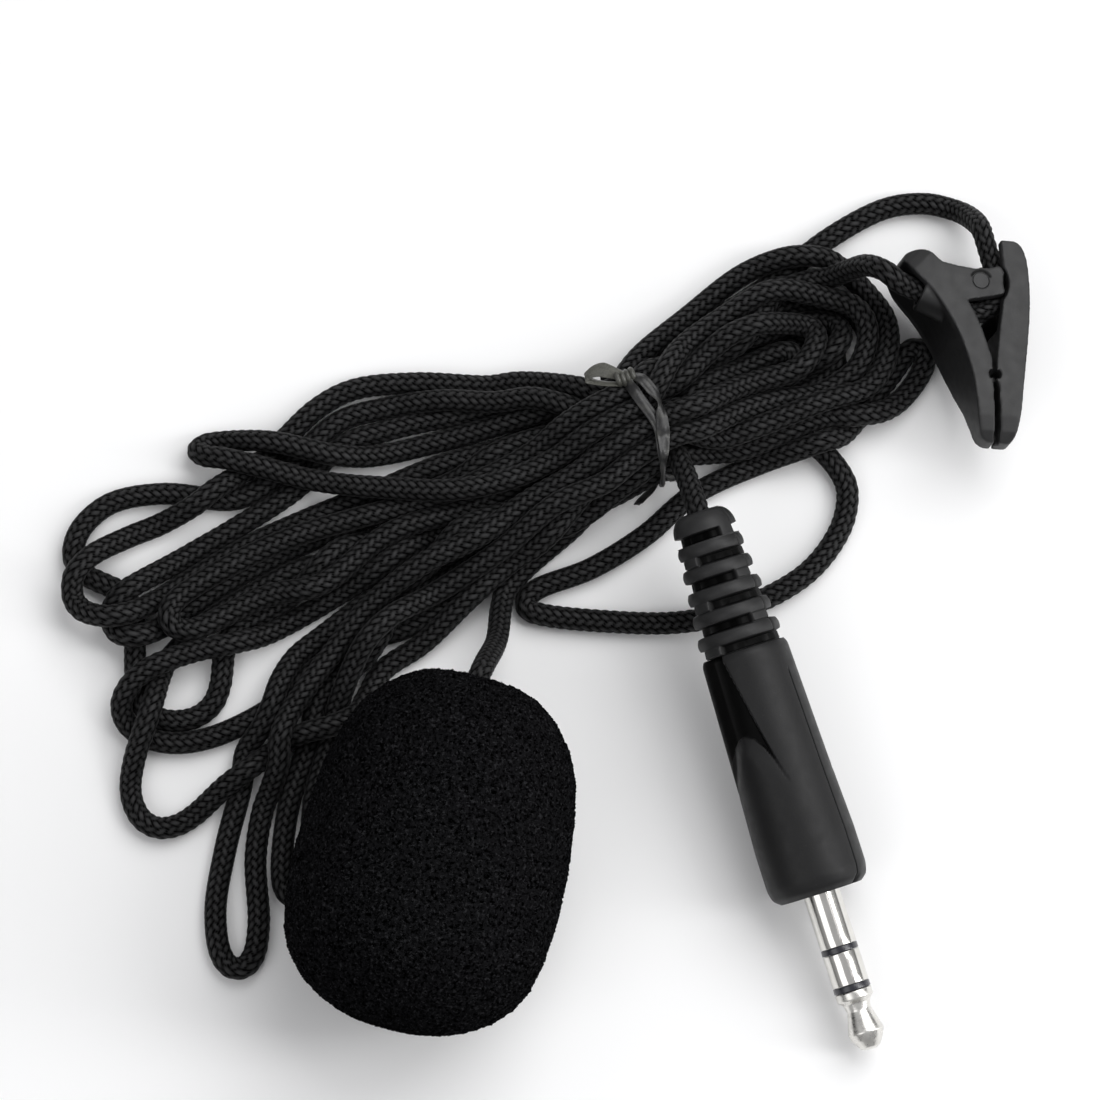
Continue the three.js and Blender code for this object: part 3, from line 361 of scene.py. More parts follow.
def moulded(name, base, rough, depth=0.012, wear=0.35, blue=0.03, coat=0.0, shine=0.5):
    """Moulded plastic or rubber: fine surface grain, cloudy colour, paler worn edges, uneven shine."""
    s = Shader(name)
    cloud = s.noise(0.22, 3)
    grain = s.noise(1 / GRAIN_SIZE, 3, 0.6)
    specks = s.levels(s.noise(5, 1), 0.68, 0.78)
    colour = s.mix(cloud, grey(base * 0.78, blue), grey(base * 1.25, blue))
    colour = s.mix(s.math("MULTIPLY", s.levels(grain, 0.35, 0.7), 0.35), colour, grey(base * 1.7, blue))
    edge = s.levels(s.add("NewGeometry", "Pointiness"), 0.515, 0.6)
    colour = s.mix(s.math("MULTIPLY", edge, wear), colour, grey(min(base * 3.2, 0.6), blue))
    colour = s.mix(s.math("MULTIPLY", specks, 0.25), colour, grey(base * 2.6, blue))
    # Painted shade: where this mark is set (recesses, grooves, parting lines, shaded flanks) the colour falls
    # towards near black and the shine drops.
    recess_and_painted_shade = s.mark("recess_and_painted_shade")
    colour = s.mix(s.math("MULTIPLY", recess_and_painted_shade, 0.85), colour, grey(base * 0.1))
    s.set(Base_Color=colour, Roughness=s.levels(s.noise(0.9, 3), 0.25, 0.75, rough - 0.07, rough + 0.1),
          Normal=s.bump(grain, depth, 0.6), Coat_Weight=coat, Coat_Roughness=0.25,
          Specular_IOR_Level=s.levels(recess_and_painted_shade, 0, 1, shine, 0.1))
    return s.material


def grip_material(name, base, rough, shine):
    """Satin black moulding whose recesses get painted shade: a darker colour and weaker shine than its worn outer
    faces.
    """
    s = Shader(name)
    recess_and_painted_shade = s.mark("recess_and_painted_shade")
    cloud = s.noise(0.25, 3)
    grain = s.noise(7, 3, 0.6)
    speck = s.levels(s.noise(3.1, 1), 0.74, 0.8)
    colour = s.mix(cloud, grey(base * 0.75, 0.04), grey(base * 1.3, 0.04))
    colour = s.mix(s.math("MULTIPLY", s.levels(grain, 0.4, 0.7), 0.3), colour, grey(base * 1.8, 0.03))
    colour = s.mix(s.math("MULTIPLY", speck, 0.2), colour, grey(base * 4))
    # Painted shade: the marked recesses are mixed towards near black, and their shine is lowered below.
    colour = s.mix(s.math("MULTIPLY", recess_and_painted_shade, 0.92), colour, grey(base * 0.1))
    s.set(Base_Color=colour, Roughness=s.levels(s.noise(1.1, 3), 0.25, 0.75, rough - 0.06, rough + 0.1),
          Normal=s.bump(grain, 0.012, 0.5), Specular_IOR_Level=s.levels(recess_and_painted_shade, 0, 1, shine, 0.08))
    return s.material


def braid_cloth(name):
    """Fine woven cloth: crossing threads with dark holes between them."""
    s = Shader(name)
    weave = s.math("MULTIPLY", s.math("SINE", s.noise(9, 0)), s.noise(14, 1))
    s.set(Base_Color=s.mix(s.levels(weave, 0.1, 0.4), grey(0.006), grey(0.04)), Roughness=0.85,
          Normal=s.bump(weave, 0.03))
    return s.material


def metal(name, colour, rough, along, scratch, tarnish=0.25):
    """Plated or drawn metal: fine scratches, cloudy tarnish and uneven shine.

    Along gives the scratches to a millimetre in each direction, and scratch their depth.
    """
    s = Shader(name, Metallic=1.0)
    lines = s.noise(1, 3, 0.6, stretch=tuple(v / MM for v in along))
    cloud = s.noise(0.5, 4)
    dark = tuple(c * (1 - tarnish) for c in colour)
    s.set(Base_Color=s.mix(s.levels(cloud, 0.3, 0.7), dark, colour),
          Roughness=s.levels(lines, 0.2, 0.8, rough * 0.6, rough * 1.6),
          Normal=s.bump(lines, scratch, 0.5))
    return s.material


FILAMENTS = 5  # seen across one yarn


def braid_material():
    """Black textile braid: gaps between the yarns darkened with painted shade, each float a little different, fine
    filaments with painted highlights that make the yarn tops paler.
    """
    s = Shader("black_braid")
    height = s.mark("height")
    float_shade = s.mark("shade")
    across = s.mark("across")
    filament = s.levels(s.math("SINE", s.math("MULTIPLY", across, 2 * math.pi * FILAMENTS)), -1, 1)
    fuzz = s.noise(9, 2)
    top = s.mix(float_shade, grey(0.002, 0.06), grey(0.0135, 0.05))
    # Painted highlight: the filament lines on the yarn tops are mixed towards a paler grey.
    lit = s.mix(s.math("MULTIPLY", s.math("MULTIPLY", filament, fuzz), 0.55), top, grey(0.05, 0.04))
    # Painted shade: where the relief is low, in the gaps between the yarns, the colour falls to near black and the
    # shine drops below.
    colour = s.mix(s.levels(height, 0.3, 0.95), grey(0.0008), lit)
    relief = s.math("ADD", s.math("MULTIPLY", filament, 0.6), fuzz)
    s.set(Base_Color=colour, Roughness=s.levels(fuzz, 0.3, 0.7, 0.55, 0.75),
          Normal=s.bump(relief, 0.02, 0.7), Sheen_Weight=0.06, Sheen_Roughness=0.4,
          Sheen_Tint=grey(0.5), Specular_IOR_Level=s.levels(height, 0.35, 0.95, 0.01, 0.4))
    return s.material


def foam_material():
    """Black open-cell foam: pores darkened with painted shade between thin struts, which catch the light as fine
    grey specks of painted highlight.
    """
    s = Shader("black_foam")
    pore = s.cells(2.4, "DISTANCE_TO_EDGE")
    speck = s.levels(s.noise(3.0, 1.5, 0.6), 0.54, 0.68)
    hole = s.levels(s.noise(2.6, 2, 0.65), 0.36, 0.55)
    strut = s.levels(pore, 0.02, 0.25, 1.0, 0.0)
    # Painted shade in the pores: where the hole noise is low the colour falls to near black.
    colour = s.mix(hole, grey(0.0002), grey(0.0054, 0.08))
    # Painted highlights: the struts and the specks, where the struts catch the light, are mixed towards paler
    # greys.
    colour = s.mix(s.math("MULTIPLY", s.math("MULTIPLY", strut, hole), 0.4), colour, grey(0.011, 0.1))
    colour = s.mix(s.math("MULTIPLY", speck, 0.75), colour, grey(0.026, 0.08))
    s.set(Base_Color=colour, Roughness=1.0, Normal=s.bump(s.math("ADD", hole, speck), 0.14, 0.8),
          Specular_IOR_Level=0.0)
    return s.material


def ribbon_material():
    """Plastic ribbon over a wire: glossy, with lengthwise draw lines and bend marks."""
    s = Shader("tie_ribbon")
    lines = s.noise(6, 3)
    crease = s.levels(s.noise(1.1, 2), 0.5, 0.75)
    colour = s.mix(crease, grey(0.013, 0.03), (0.04, 0.04, 0.036))
    pale = s.mark("pale")
    colour = s.mix(s.math("MULTIPLY", pale, s.levels(lines, 0.3, 0.6, 0.5, 1)), colour, (0.1, 0.1, 0.085))
    s.set(Base_Color=colour, Roughness=s.levels(lines, 0.3, 0.7, 0.3, 0.45), Normal=s.bump(lines, 0.02, 0.5))
    return s.material


# ------------------------------------------------------------------ turned pieces

def meridian(node, axes):
    """The section of a turned CAD node as [radius, height] points in order."""
    co, tri = cad_mesh(node)
    p = axes.local(co)
    r = np.hypot(p[:, 0], p[:, 2])
    angle = np.arctan2(p[:, 2], p[:, 0])
    away = np.abs(np.angle(np.exp(1j * (angle - angle[np.argmax(r)]))))
    chosen = (away < 0.02) | (r < 0.01)
    links = {int(k): set() for k in np.flatnonzero(chosen)}
    for t in tri:
        for a, b in ((t[0], t[1]), (t[1], t[2]), (t[2], t[0])):
            if chosen[a] and chosen[b]:
                links[int(a)].add(int(b))
                links[int(b)].add(int(a))
    at = next((k for k in links if len(links[k]) == 1), next(iter(links)))
    path = [at]
    while True:
        onward = [k for k in sorted(links[at]) if k not in path]
        if not onward:
            return [[r[k], p[k, 1]] for k in path]
        at = onward[0]
        path.append(at)


def rounded(points, size, closed):
    """The polyline with each corner replaced by a small arc of five points."""
    p = np.array(points, float)
    count = len(p)
    out = []
    for i in range(count):
        if not closed and i in (0, count - 1):
            out.append(p[i])
            continue
        before, after = p[(i - 1) % count] - p[i], p[(i + 1) % count] - p[i]
        reach = min(size, 0.45 * np.linalg.norm(before), 0.45 * np.linalg.norm(after))
        a, b = p[i] + unit(before) * reach, p[i] + unit(after) * reach
        for t in np.linspace(0, 1, 5):
            out.append((1 - t) ** 2 * a + 2 * t * (1 - t) * p[i] + t * t * b)
    return np.array(out)


def subdivided(points, longest, closed):
    """The polyline with points added so that no side is longer than this."""
    p = np.array(points)
    out = []
    for i in range(len(p) if closed else len(p) - 1):
        a, b = p[i], p[(i + 1) % len(p)]
        parts = max(1, int(math.ceil(np.linalg.norm(b - a) / longest)))
        out += [a + (b - a) * k / parts for k in range(parts)]
    if not closed:
        out.append(p[-1])
    return np.array(out)


def revolve(profile, closed, segments):
    """Local points and faces of a section turned about Y."""
    a = 2 * np.pi * np.arange(segments) / segments
    rings = profile if closed else profile[1:-1]
    r, y = rings[:, :1], np.repeat(rings[:, 1:], segments, 1)
    co = np.stack([r * np.cos(a), y, r * np.sin(a)], -1).reshape(-1, 3)
    faces = [grid_faces(len(rings), segments, closed)]
    if not closed:
        j = np.arange(segments)
        n = (j + 1) % segments
        last = (len(rings) - 1) * segments
        co = np.vstack([co, [0, profile[0, 1], 0], [0, profile[-1, 1], 0]])
        faces.append(np.stack([n, j, np.full(segments, len(co) - 2)], -1))
        faces.append(np.stack([last + j, last + n, np.full(segments, len(co) - 1)], -1))
    return co, faces


TURNED_STEP, TURNED_AROUND = 0.8, 96


def turned_piece(name, node, axes, material, round_mm):
    """A turned CAD node again, with its corners rounded and more sides."""
    section = meridian(node, axes)
    closed = section[0][0] > 0.01
    profile = subdivided(rounded(section, round_mm, closed), TURNED_STEP, closed)
    co, faces = revolve(profile, closed, TURNED_AROUND)
    return new_piece(name, axes.out(co), faces, ROOT, material, [node])


# ------------------------------------------------------------------ cord

CARRIERS = 10  # strands that wind each way
LAY = 9.0  # length in which a strand goes once round
YARN_DEPTH = 0.15
GAP_DEPTH = 0.115  # of the gaps between the yarns, below the cord's own radius
SHADES = 4096
RING_STEP = 0.17
CORD_AROUND = 40
IN_CLIP = (5.5, 8)  # distances from the hinge pin between which the cord gets back its full width
CLIP_PRESSES = 0.08  # the share of its radius that it loses in the clip


def braid(turn, along):
    """Relief, shade and place across the strand of a two-over-two braid, for turns and lengths."""
    a = CARRIERS * (turn + along / LAY)
    b = CARRIERS * (turn - along / LAY)
    i, j = np.floor(a), np.floor(b)
    ta, tb = np.mod(b + i, 4) / 2, np.mod(a + j - 2, 4) / 2
    on_a = ta < 1
    t = np.where(on_a, ta, tb)
    across = np.where(on_a, a - i, b - j)
    middle = np.where(on_a, (i + 0.5) - (b - 2 * ta + 1), (a - 2 * tb + 1) - (j + 0.5))
    strand = np.where(on_a, np.mod(i, CARRIERS), CARRIERS + np.mod(j, CARRIERS))
    shades = RNG.random(SHADES)
    shade = shades[(np.round(2 * middle).astype(int) * 31 + strand.astype(int) * 157) % SHADES]
    round_yarn = np.sqrt(np.clip(1 - 0.96 * (2 * across - 1) ** 2, 0, 1))
    return round_yarn * np.sin(np.pi * np.clip(t, 0, 1)) ** 0.5, shade, across


def make_cord(pin_at):
    """The braid along the CAD cord, pressed a little thinner where it runs through the clip."""
    stations, counts = ring_centres("braided_cord", CORD_SIDES)
    assert set(counts) == {CORD_SIDES}, "the cord's rings don't follow each other"
    points = smooth_curve(stations, RING_STEP)
    points[:, 2] = np.maximum(points[:, 2], CORD_RADIUS)
    along = np.arange(len(points))[:, None] * RING_STEP
    turn = np.arange(CORD_AROUND)[None, :] / CORD_AROUND
    relief, shade, across = braid(turn + 0 * along, along + 0 * turn)
    swell = 0.012 * np.sin(along * 0.37) + 0.01 * np.sin(along * 0.083 + 2)
    from_pin = np.linalg.norm(points - pin_at, axis=1)[:, None]
    swell = swell - CLIP_PRESSES * (1 - smooth_step(from_pin, *IN_CLIP))
    radius = CORD_RADIUS * (1 + swell) - GAP_DEPTH + YARN_DEPTH * relief
    co, faces = capped(tube_along(points, radius, CORD_AROUND))
    marks = {"height": relief, "shade": shade, "across": across}
    marks = {k: np.append(v.ravel(), [0.5, 0.5]) for k, v in marks.items()}
    new_piece("braided_cord_sheath", co, faces, ROOT, braid_material(), ["braided_cord"],
              marks=marks)
    return points


# ------------------------------------------------------------------ foam windscreen

def cell_noise(points, per_mm, seed):
    """Distances to the nearest of the scattered points of a jittered grid, in grid steps."""
    p = points * per_mm
    base = np.floor(p).astype(np.int64)
    best = np.full(len(p), 9.0)
    for dx in (-1, 0, 1):
        for dy in (-1, 0, 1):
            for dz in (-1, 0, 1):
                cell = base + (dx, dy, dz)
                mixed = (cell[:, 0] * 73856093 ^ cell[:, 1] * 19349663 ^ cell[:, 2] * 83492791) + seed
                jitter = np.stack([((mixed * k) % 10007) / 10007 for k in (7919, 104729, 15485863)], -1)
                best = np.minimum(best, np.linalg.norm(cell + jitter - p, axis=1))
    return best


FOAM_STEP, FOAM_AROUND = 0.2, 390
FOAM_ROUND = 0.5  # of the edge of the pocket
GRAINS, CELLS, SWELLS = 0.24, 0.24, 0.14  # how far each moves the skin
POCKET_RADIUS, POCKET_FRONT = 4.3, 1.2  # the pocket that holds the head stays plain


def make_windscreen(axes):
    """The turned foam body, with a skin of grains and open cells over slow swells."""
    section = np.array(meridian("foam_windscreen", axes))
    profile = subdivided(rounded(section, FOAM_ROUND, False), FOAM_STEP, False)
    co, faces = revolve(profile, False, FOAM_AROUND)
    normal = np.zeros_like(co)
    for f in faces:
        n = np.cross(co[f[:, 1]] - co[f[:, 0]], co[f[:, 2]] - co[f[:, 0]])
        for k in range(f.shape[1]):
            np.add.at(normal, f[:, k], n)
    normal = unit(normal + 1e-12)
    if signed_volume(co, faces) < 0:
        normal = -normal
    near = cell_noise(co, per_mm=2.4, seed=5)
    wide = cell_noise(co, per_mm=0.16, seed=11)
    grain = RNG.random(len(co))
    r = np.hypot(co[:, 0], co[:, 2])
    pocket = (r < POCKET_RADIUS) & (co[:, 1] < POCKET_FRONT)
    lift = GRAINS * (grain - 0.5) + CELLS * (near - 0.5) - 0.03 + SWELLS * (0.55 - wide)
    co = co + normal * np.where(pocket, 0, lift)[:, None]
    new_piece("foam_windscreen_cover", axes.out(co), faces, SCREEN, foam_material(),
              ["foam_windscreen"])


# ------------------------------------------------------------------ plug

# In the frame of the plug the shoulder is at Y = 0, with the handle and then the boot behind it.
HANDLE_LENGTH = 23.7
HANDLE_AROUND = 320
RECESS, TONGUE, LINE, NOTCH = 0.72, 0.34, 0.16, 0.5  # depths
BOOT_LENGTH = 12.8
BOOT_AROUND = 240
BOOT_RADIUS, BOOT_WIDENS = 2.9, 1.2  # at the rear, and by how much towards the handle
BOOT_BORE, SPIGOT_RADIUS, SPIGOT_LENGTH = 1.25, 2.15, 4.5  # the spigot sits in the handle
BOOT_LEVELS = 6
BOOT_DOME = 0.7
CROWN = 0.16  # of each ring
BRIDGE_TURN = math.radians(11.5)
PARTING = math.radians(3)


def polygon_depth(x, y, corners):
    """Signed distance from points to a polygon's outline, positive inside."""
    p = np.stack([x, y], -1)
    inside = np.zeros(x.shape, bool)
    nearest = np.full(x.shape, 1e9)
    for a, b in zip(corners, corners[1:] + corners[:1]):
        a, b = np.array(a, float), np.array(b, float)
        e = b - a
        t = np.clip(((p - a) @ e) / (e @ e), 0, 1)
        nearest = np.minimum(nearest, np.linalg.norm(p - a - t[..., None] * e, axis=-1))
        crosses = (a[1] > y) != (b[1] > y)
        with np.errstate(divide="ignore", invalid="ignore"):
            inside ^= crosses & (x < (b[0] - a[0]) * (y - a[1]) / (b[1] - a[1]) + a[0])
    return np.where(inside, nearest, -nearest)


def relaxed(profile, rounds):
    """The polyline with its corners smoothed away."""
    p = np.array(profile, float)
    for _ in range(rounds):
        p[1:-1] = (p[:-2] + 2 * p[1:-1] + p[2:]) / 4
    return p


def make_handle(axes, material):
    """The moulded grip: a V recess with a raised tongue on two sides and a parting line between them."""
    outer = [[3.9, 0], [4.55, -0.5], [4.8, -1.5], [4.8, -5], [4.5, -11.85], [4.15, -23.3], [3.9, -23.7]]
    outer = relaxed(subdivided(outer, 0.085, False), 16)
    inner = subdivided([[2.2, -23.7], [2.2, -9], [3.3, -9], [3.3, -1.2], [1.8, -1.2], [1.8, 0]], 0.6, False)
    profile = np.vstack([outer, inner])
    turn = 2 * np.pi * np.arange(HANDLE_AROUND) / HANDLE_AROUND
    a = turn - 0.35 * np.sin(2 * turn)  # closer together at the parting lines
    r = np.repeat(profile[:, :1], len(a), 1)
    y = np.repeat(profile[:, 1:], len(a), 1)
    x, z = r * np.cos(a), r * np.sin(a)
    u = y + HANDLE_LENGTH
    across = x * np.where(z < 0, -1, 1)  # the two faces are alike, half a turn apart
    edge = [(3.8, 11.9), (3.6, 3), (3.45, -2), (0.1, -2), (-0.2, 0.3), (-1.35, 5.5), (-2.9, 12.8)]
    arch = [(-2.3, 10.9), (-1.6, 9.4), (-0.7, 8.3), (0.1, 7.9), (0.9, 8), (1.8, 8.6), (2.6, 9.8),
            (3.3, 11.4)]
    recess_and_painted_shade = smooth_step(polygon_depth(across, u, edge + arch), -0.03, 0.22)
    dome = polygon_depth(across, u, [(-2.9, 12.8), *arch, (4.3, 14), (12, 40), (-12, 40)])
    on_outer = np.arange(len(profile))[:, None] < len(outer)
    shallower = 1 - smooth_step(across, 1.6, 3.2)  # the recess runs out towards the side
    tongue = (1 - smooth_step(dome, -0.1, 1.6)) * smooth_step(dome, -0.1, 0) * (1 - recess_and_painted_shade)
    tongue = tongue * (1 - smooth_step(u, 9.5, 13.5))
    cut = RECESS * recess_and_painted_shade * shallower + TONGUE * tongue
    line = np.exp(-(z / 0.075) ** 2) * smooth_step(u, 2.6, 3.4)
    notch = np.exp(-(z / 0.28) ** 2) * smooth_step(y, -0.9, -0.3)
    r = r - on_outer * (cut + LINE * line + NOTCH * notch)
    grid = np.stack([r * np.cos(a), y, r * np.sin(a)], -1)
    co = grid.reshape(-1, 3)
    # Painted shade: the recess and the parting line are marked for a near-black colour and weaker shine.
    marks = {"recess_and_painted_shade": on_outer * np.maximum(recess_and_painted_shade, line)}
    new_piece("plug_grip", axes.out(co), [grid_faces(len(profile), len(a), True)], ROOT, material,
              ["plug_handle"], marks=marks)


def make_boot(axes, material):
    """Rings on a core, with deep gaps between them that are bridged a quarter turn apart at each level."""
    front, rear = -HANDLE_LENGTH - 0.05, -HANDLE_LENGTH - BOOT_LENGTH
    pitch = BOOT_LENGTH / BOOT_LEVELS
    open_from = 0.58 * pitch
    end = rear - BOOT_DOME
    spigot = front + SPIGOT_LENGTH
    outer = subdivided([[BOOT_RADIUS, front], [BOOT_RADIUS, end]], 0.06, False)
    rear_end = subdivided([[1.9, end - 0.02], [BOOT_BORE, end - 0.02]], 0.2, False)
    bore = [[BOOT_BORE, end], [BOOT_BORE, spigot], [SPIGOT_RADIUS, spigot], [SPIGOT_RADIUS, front + 0.02]]
    bore = subdivided(bore, 0.5, False)
    profile = np.vstack([outer, rear_end, bore])
    a = 2 * np.pi * np.arange(BOOT_AROUND) / BOOT_AROUND
    y = np.repeat(profile[:, 1:], len(a), 1)
    r = np.repeat(profile[:, :1], len(a), 1)
    full = BOOT_RADIUS + BOOT_WIDENS * (y - rear) / BOOT_LENGTH
    level = np.maximum(np.floor((y - rear) / pitch), 0)
    within = (y - rear) - level * pitch
    in_gap = smooth_step(within, open_from - 0.08, open_from + 0.12)
    in_gap = in_gap * smooth_step(-within, -pitch, 0.16 - pitch)
    turned = a + BRIDGE_TURN
    beside = np.where(np.mod(level, 2) > 0.5, np.abs(np.cos(turned)), np.abs(np.sin(turned)))
    gap = in_gap * smooth_step(beside, 0.26, 0.31)
    depth = 0.7 + 0.75 * smooth_step(beside, 0.5, 0.85)
    crown = CROWN * np.cos((within / open_from - 0.5) * np.pi) - CROWN
    crown = np.where((within > 0) & (level > 0), crown, 0)
    line = np.exp(-(np.angle(np.exp(2j * (a - PARTING))) / 2 * full / 0.1) ** 2)
    rising = np.clip((y - end) / (2.2 * BOOT_DOME), 0, 1)
    domed = 0.6 + 0.4 * np.sqrt(rising * (2 - rising))
    shaped = full * domed + crown * (1 - in_gap) - depth * gap - LINE * line * (1 - gap)
    on_outer = np.arange(len(profile))[:, None] < len(outer)
    r = np.where(on_outer, shaped, r)
    co = np.stack([r * np.cos(a), y, r * np.sin(a)], -1).reshape(-1, 3)
    # Painted shade: the gaps between the rings and the parting line are marked for a near-black colour and weaker
    # shine.
    marks = {"recess_and_painted_shade": on_outer * np.maximum(gap, 0.8 * line)}
    new_piece("plug_boot", axes.out(co), [grid_faces(len(profile), len(a), True)], ROOT, material,
              ["strain_relief_boot"], marks=marks)


# ------------------------------------------------------------------ clip

ARM_VOXEL, ARM_ROUNDS = 0.1, 12
PIN_RADIUS, GROOVE_WIDTH, GROOVE_DEPTH = 1.0, 0.1, 0.25
SPRING_WIRE = 0.25  # radius


def remeshed(node, voxel, rounds):
    """The CAD node's shape as even quads with its edges rounded, in millimetres."""
    obj = bpy.data.objects.new("remesh_source", frame["nodes"][node].data.copy())
    bpy.context.scene.collection.objects.link(obj)
    remesh = obj.modifiers.new("remesh", "REMESH")
    remesh.mode = "VOXEL"
    remesh.voxel_size = voxel * MM
    soften = obj.modifiers.new("soften", "SMOOTH")
    soften.factor, soften.iterations = 0.5, rounds
    depsgraph = bpy.context.evaluated_depsgraph_get()
    mesh = bpy.data.meshes.new_from_object(obj.evaluated_get(depsgraph), depsgraph=depsgraph)
    bpy.data.objects.remove(obj)
    co = np.zeros(len(mesh.vertices) * 3)
    mesh.vertices.foreach_get("co", co)
    quads = np.zeros(len(mesh.polygons) * 4, np.int32)
    mesh.polygons.foreach_get("vertices", quads)
    return co.reshape(-1, 3) / MM, [quads.reshape(-1, 4)]


def make_clip(axes, material):
    """The two arms; the left one has a groove round the pin's ends, darkened with painted shade, and painted shade
    on its flank towards the right arm.
    """
    co, faces = remeshed("clip_left_arm", ARM_VOXEL, ARM_ROUNDS)
    p = axes.local(co)
    on_top = smooth_step(np.abs(p[:, 2]), 3.3, 3.8)
    r, angle = np.hypot(p[:, 0], p[:, 1]), np.arctan2(p[:, 1], p[:, 0])
    arc = np.exp(-((r - PIN_RADIUS) / GROOVE_WIDTH) ** 2) * on_top
    arc = arc * smooth_step(angle, 0.3, 0.6) * smooth_step(-angle, -2.9, -2.5)
    # Painted shade on the inner flank of the left arm, where shade falls: this mask changes only the colour, not
    # the shape.
    inner = 1 - smooth_step(np.abs(p[:, 2]), 2.9, 3.5)
    inner = inner * smooth_step(p[:, 1], -7, -3) * smooth_step(-p[:, 0], 1.5, 2.5)
    p[:, 2] -= np.sign(p[:, 2]) * GROOVE_DEPTH * arc
    # The groove arc and the inner flank are marked for painted shade: a near-black colour and weaker shine.
    new_piece("clip_left_arm_moulding", axes.out(p), faces, ROOT, material, ["clip_left_arm"],
              marks={"recess_and_painted_shade": np.maximum(arc, 0.7 * inner)})
    co, faces = remeshed("clip_right_arm", ARM_VOXEL, ARM_ROUNDS)
    new_piece("clip_right_arm_moulding", co, faces, LEVER, material, ["clip_right_arm"])


def make_spring(material):
    """The spring's bent wire, between the two bodies that its ends rest on."""
    stations, _ = ring_centres("clip_spring", sides=5)
    co, faces = capped(tube_along(smooth_curve(stations, 0.12, 1), SPRING_WIRE, around=14))
    spring = new_piece("clip_spring_wire", co, faces, None, material, ["clip_spring"])
    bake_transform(spring)


# ------------------------------------------------------------------ twist tie

TIE_HEADING = math.radians(30)
TIE_STEP = 0.1
RIBBON = {"width": 1.1, "thick": 0.15, "ridge": 0.14, "wire": 0.17}
TWIST_AT, WIDE_AT = 4.4, 7.2  # along the ribbon
# Places from the middle of the CAD tie, in plan: the right and left bands over the bundle.
RIGHT_BAND = [(-0.4, 4.4), (0.5, 4.15), (1.5, 3.1), (2.3, 1.9), (2.55, 0.5), (2.7, -1.1), (2.8, -2.7),
              (2.75, -4.4)]
LEFT_BAND = [(-0.8, 4.1), (0.2, 2.6), (1.2, 1.2), (1.9, 0.2), (2.4, -0.9), (2.6, -2.6), (2.7, -4.4)]
# The knot is a coil; the tail and the bow are the ribbon's two ends.
KNOT_AT, KNOT_TURNS, KNOT_PITCH, KNOT_RADIUS = (-1.7, 4.15), 3.6, 0.5, 0.62
TAIL = [(2.4, -4.1, 0.5), (1.6, -5.1, 0.9), (0.9, -5.9, 1.6), (0.45, -6.55, 2.2)]
BOW = [(-1.2, 4.35, 0.5), (-2.2, 4.7, 0.7), (-3.2, 4.95, 0.5), (-4.2, 4.65, 0), (-4.5, 4.3, -0.45),
       (-3.7, 4.0, -0.45), (-2.5, 3.75, -0.1), (-1.3, 3.65, 0.2)]


def cord_top(places, cord):
    """Height of the top of the cord at each place in plan, and 0 where there is no cord."""
    reach = CORD_RADIUS + 0.15
    off = np.linalg.norm(places[:, None, :2] - cord[None, :, :2], axis=2)
    rise = np.sqrt(np.clip(reach ** 2 - off ** 2, 0, None))
    return np.where(off < reach, cord[None, :, 2] + rise, 0).max(1)


def laid(places, cord, lift):
    """A line over the cords that bridges the gaps between them."""
    line = smooth_curve(np.array([(x, y, 0) for x, y in places], float), 0.5, 0)
    top = cord_top(line, cord)
    padded = np.pad(top, 2, mode="edge")
    line[:, 2] = np.array([padded[i:i + 5].max() for i in range(len(top))]) + lift
    return line


def ribbon(points, wide, width, twist):
    """A flat strip with a wire ridge down its middle; wide is the way across it."""
    tangent = unit(np.gradient(points, axis=0))
    wide = unit(wide - tangent * np.sum(wide * tangent, 1)[:, None])
    face = np.cross(wide, tangent)
    c, s = np.cos(twist)[:, None], np.sin(twist)[:, None]
    wide, face = wide * c + face * s, face * c - wide * s
    a = 2 * np.pi * np.arange(24) / 24
    across = np.sign(np.cos(a)) * np.abs(np.cos(a)) ** 0.6 / 2 * width[:, None]
    ridge = RIBBON["ridge"] * np.exp(-(across / RIBBON["wire"]) ** 2)
    rise = np.sign(np.sin(a)) * np.abs(np.sin(a)) ** 0.5 * (RIBBON["thick"] / 2 + ridge)
    return capped(points[:, None] + across[..., None] * wide[:, None] + rise[..., None] * face[:, None])


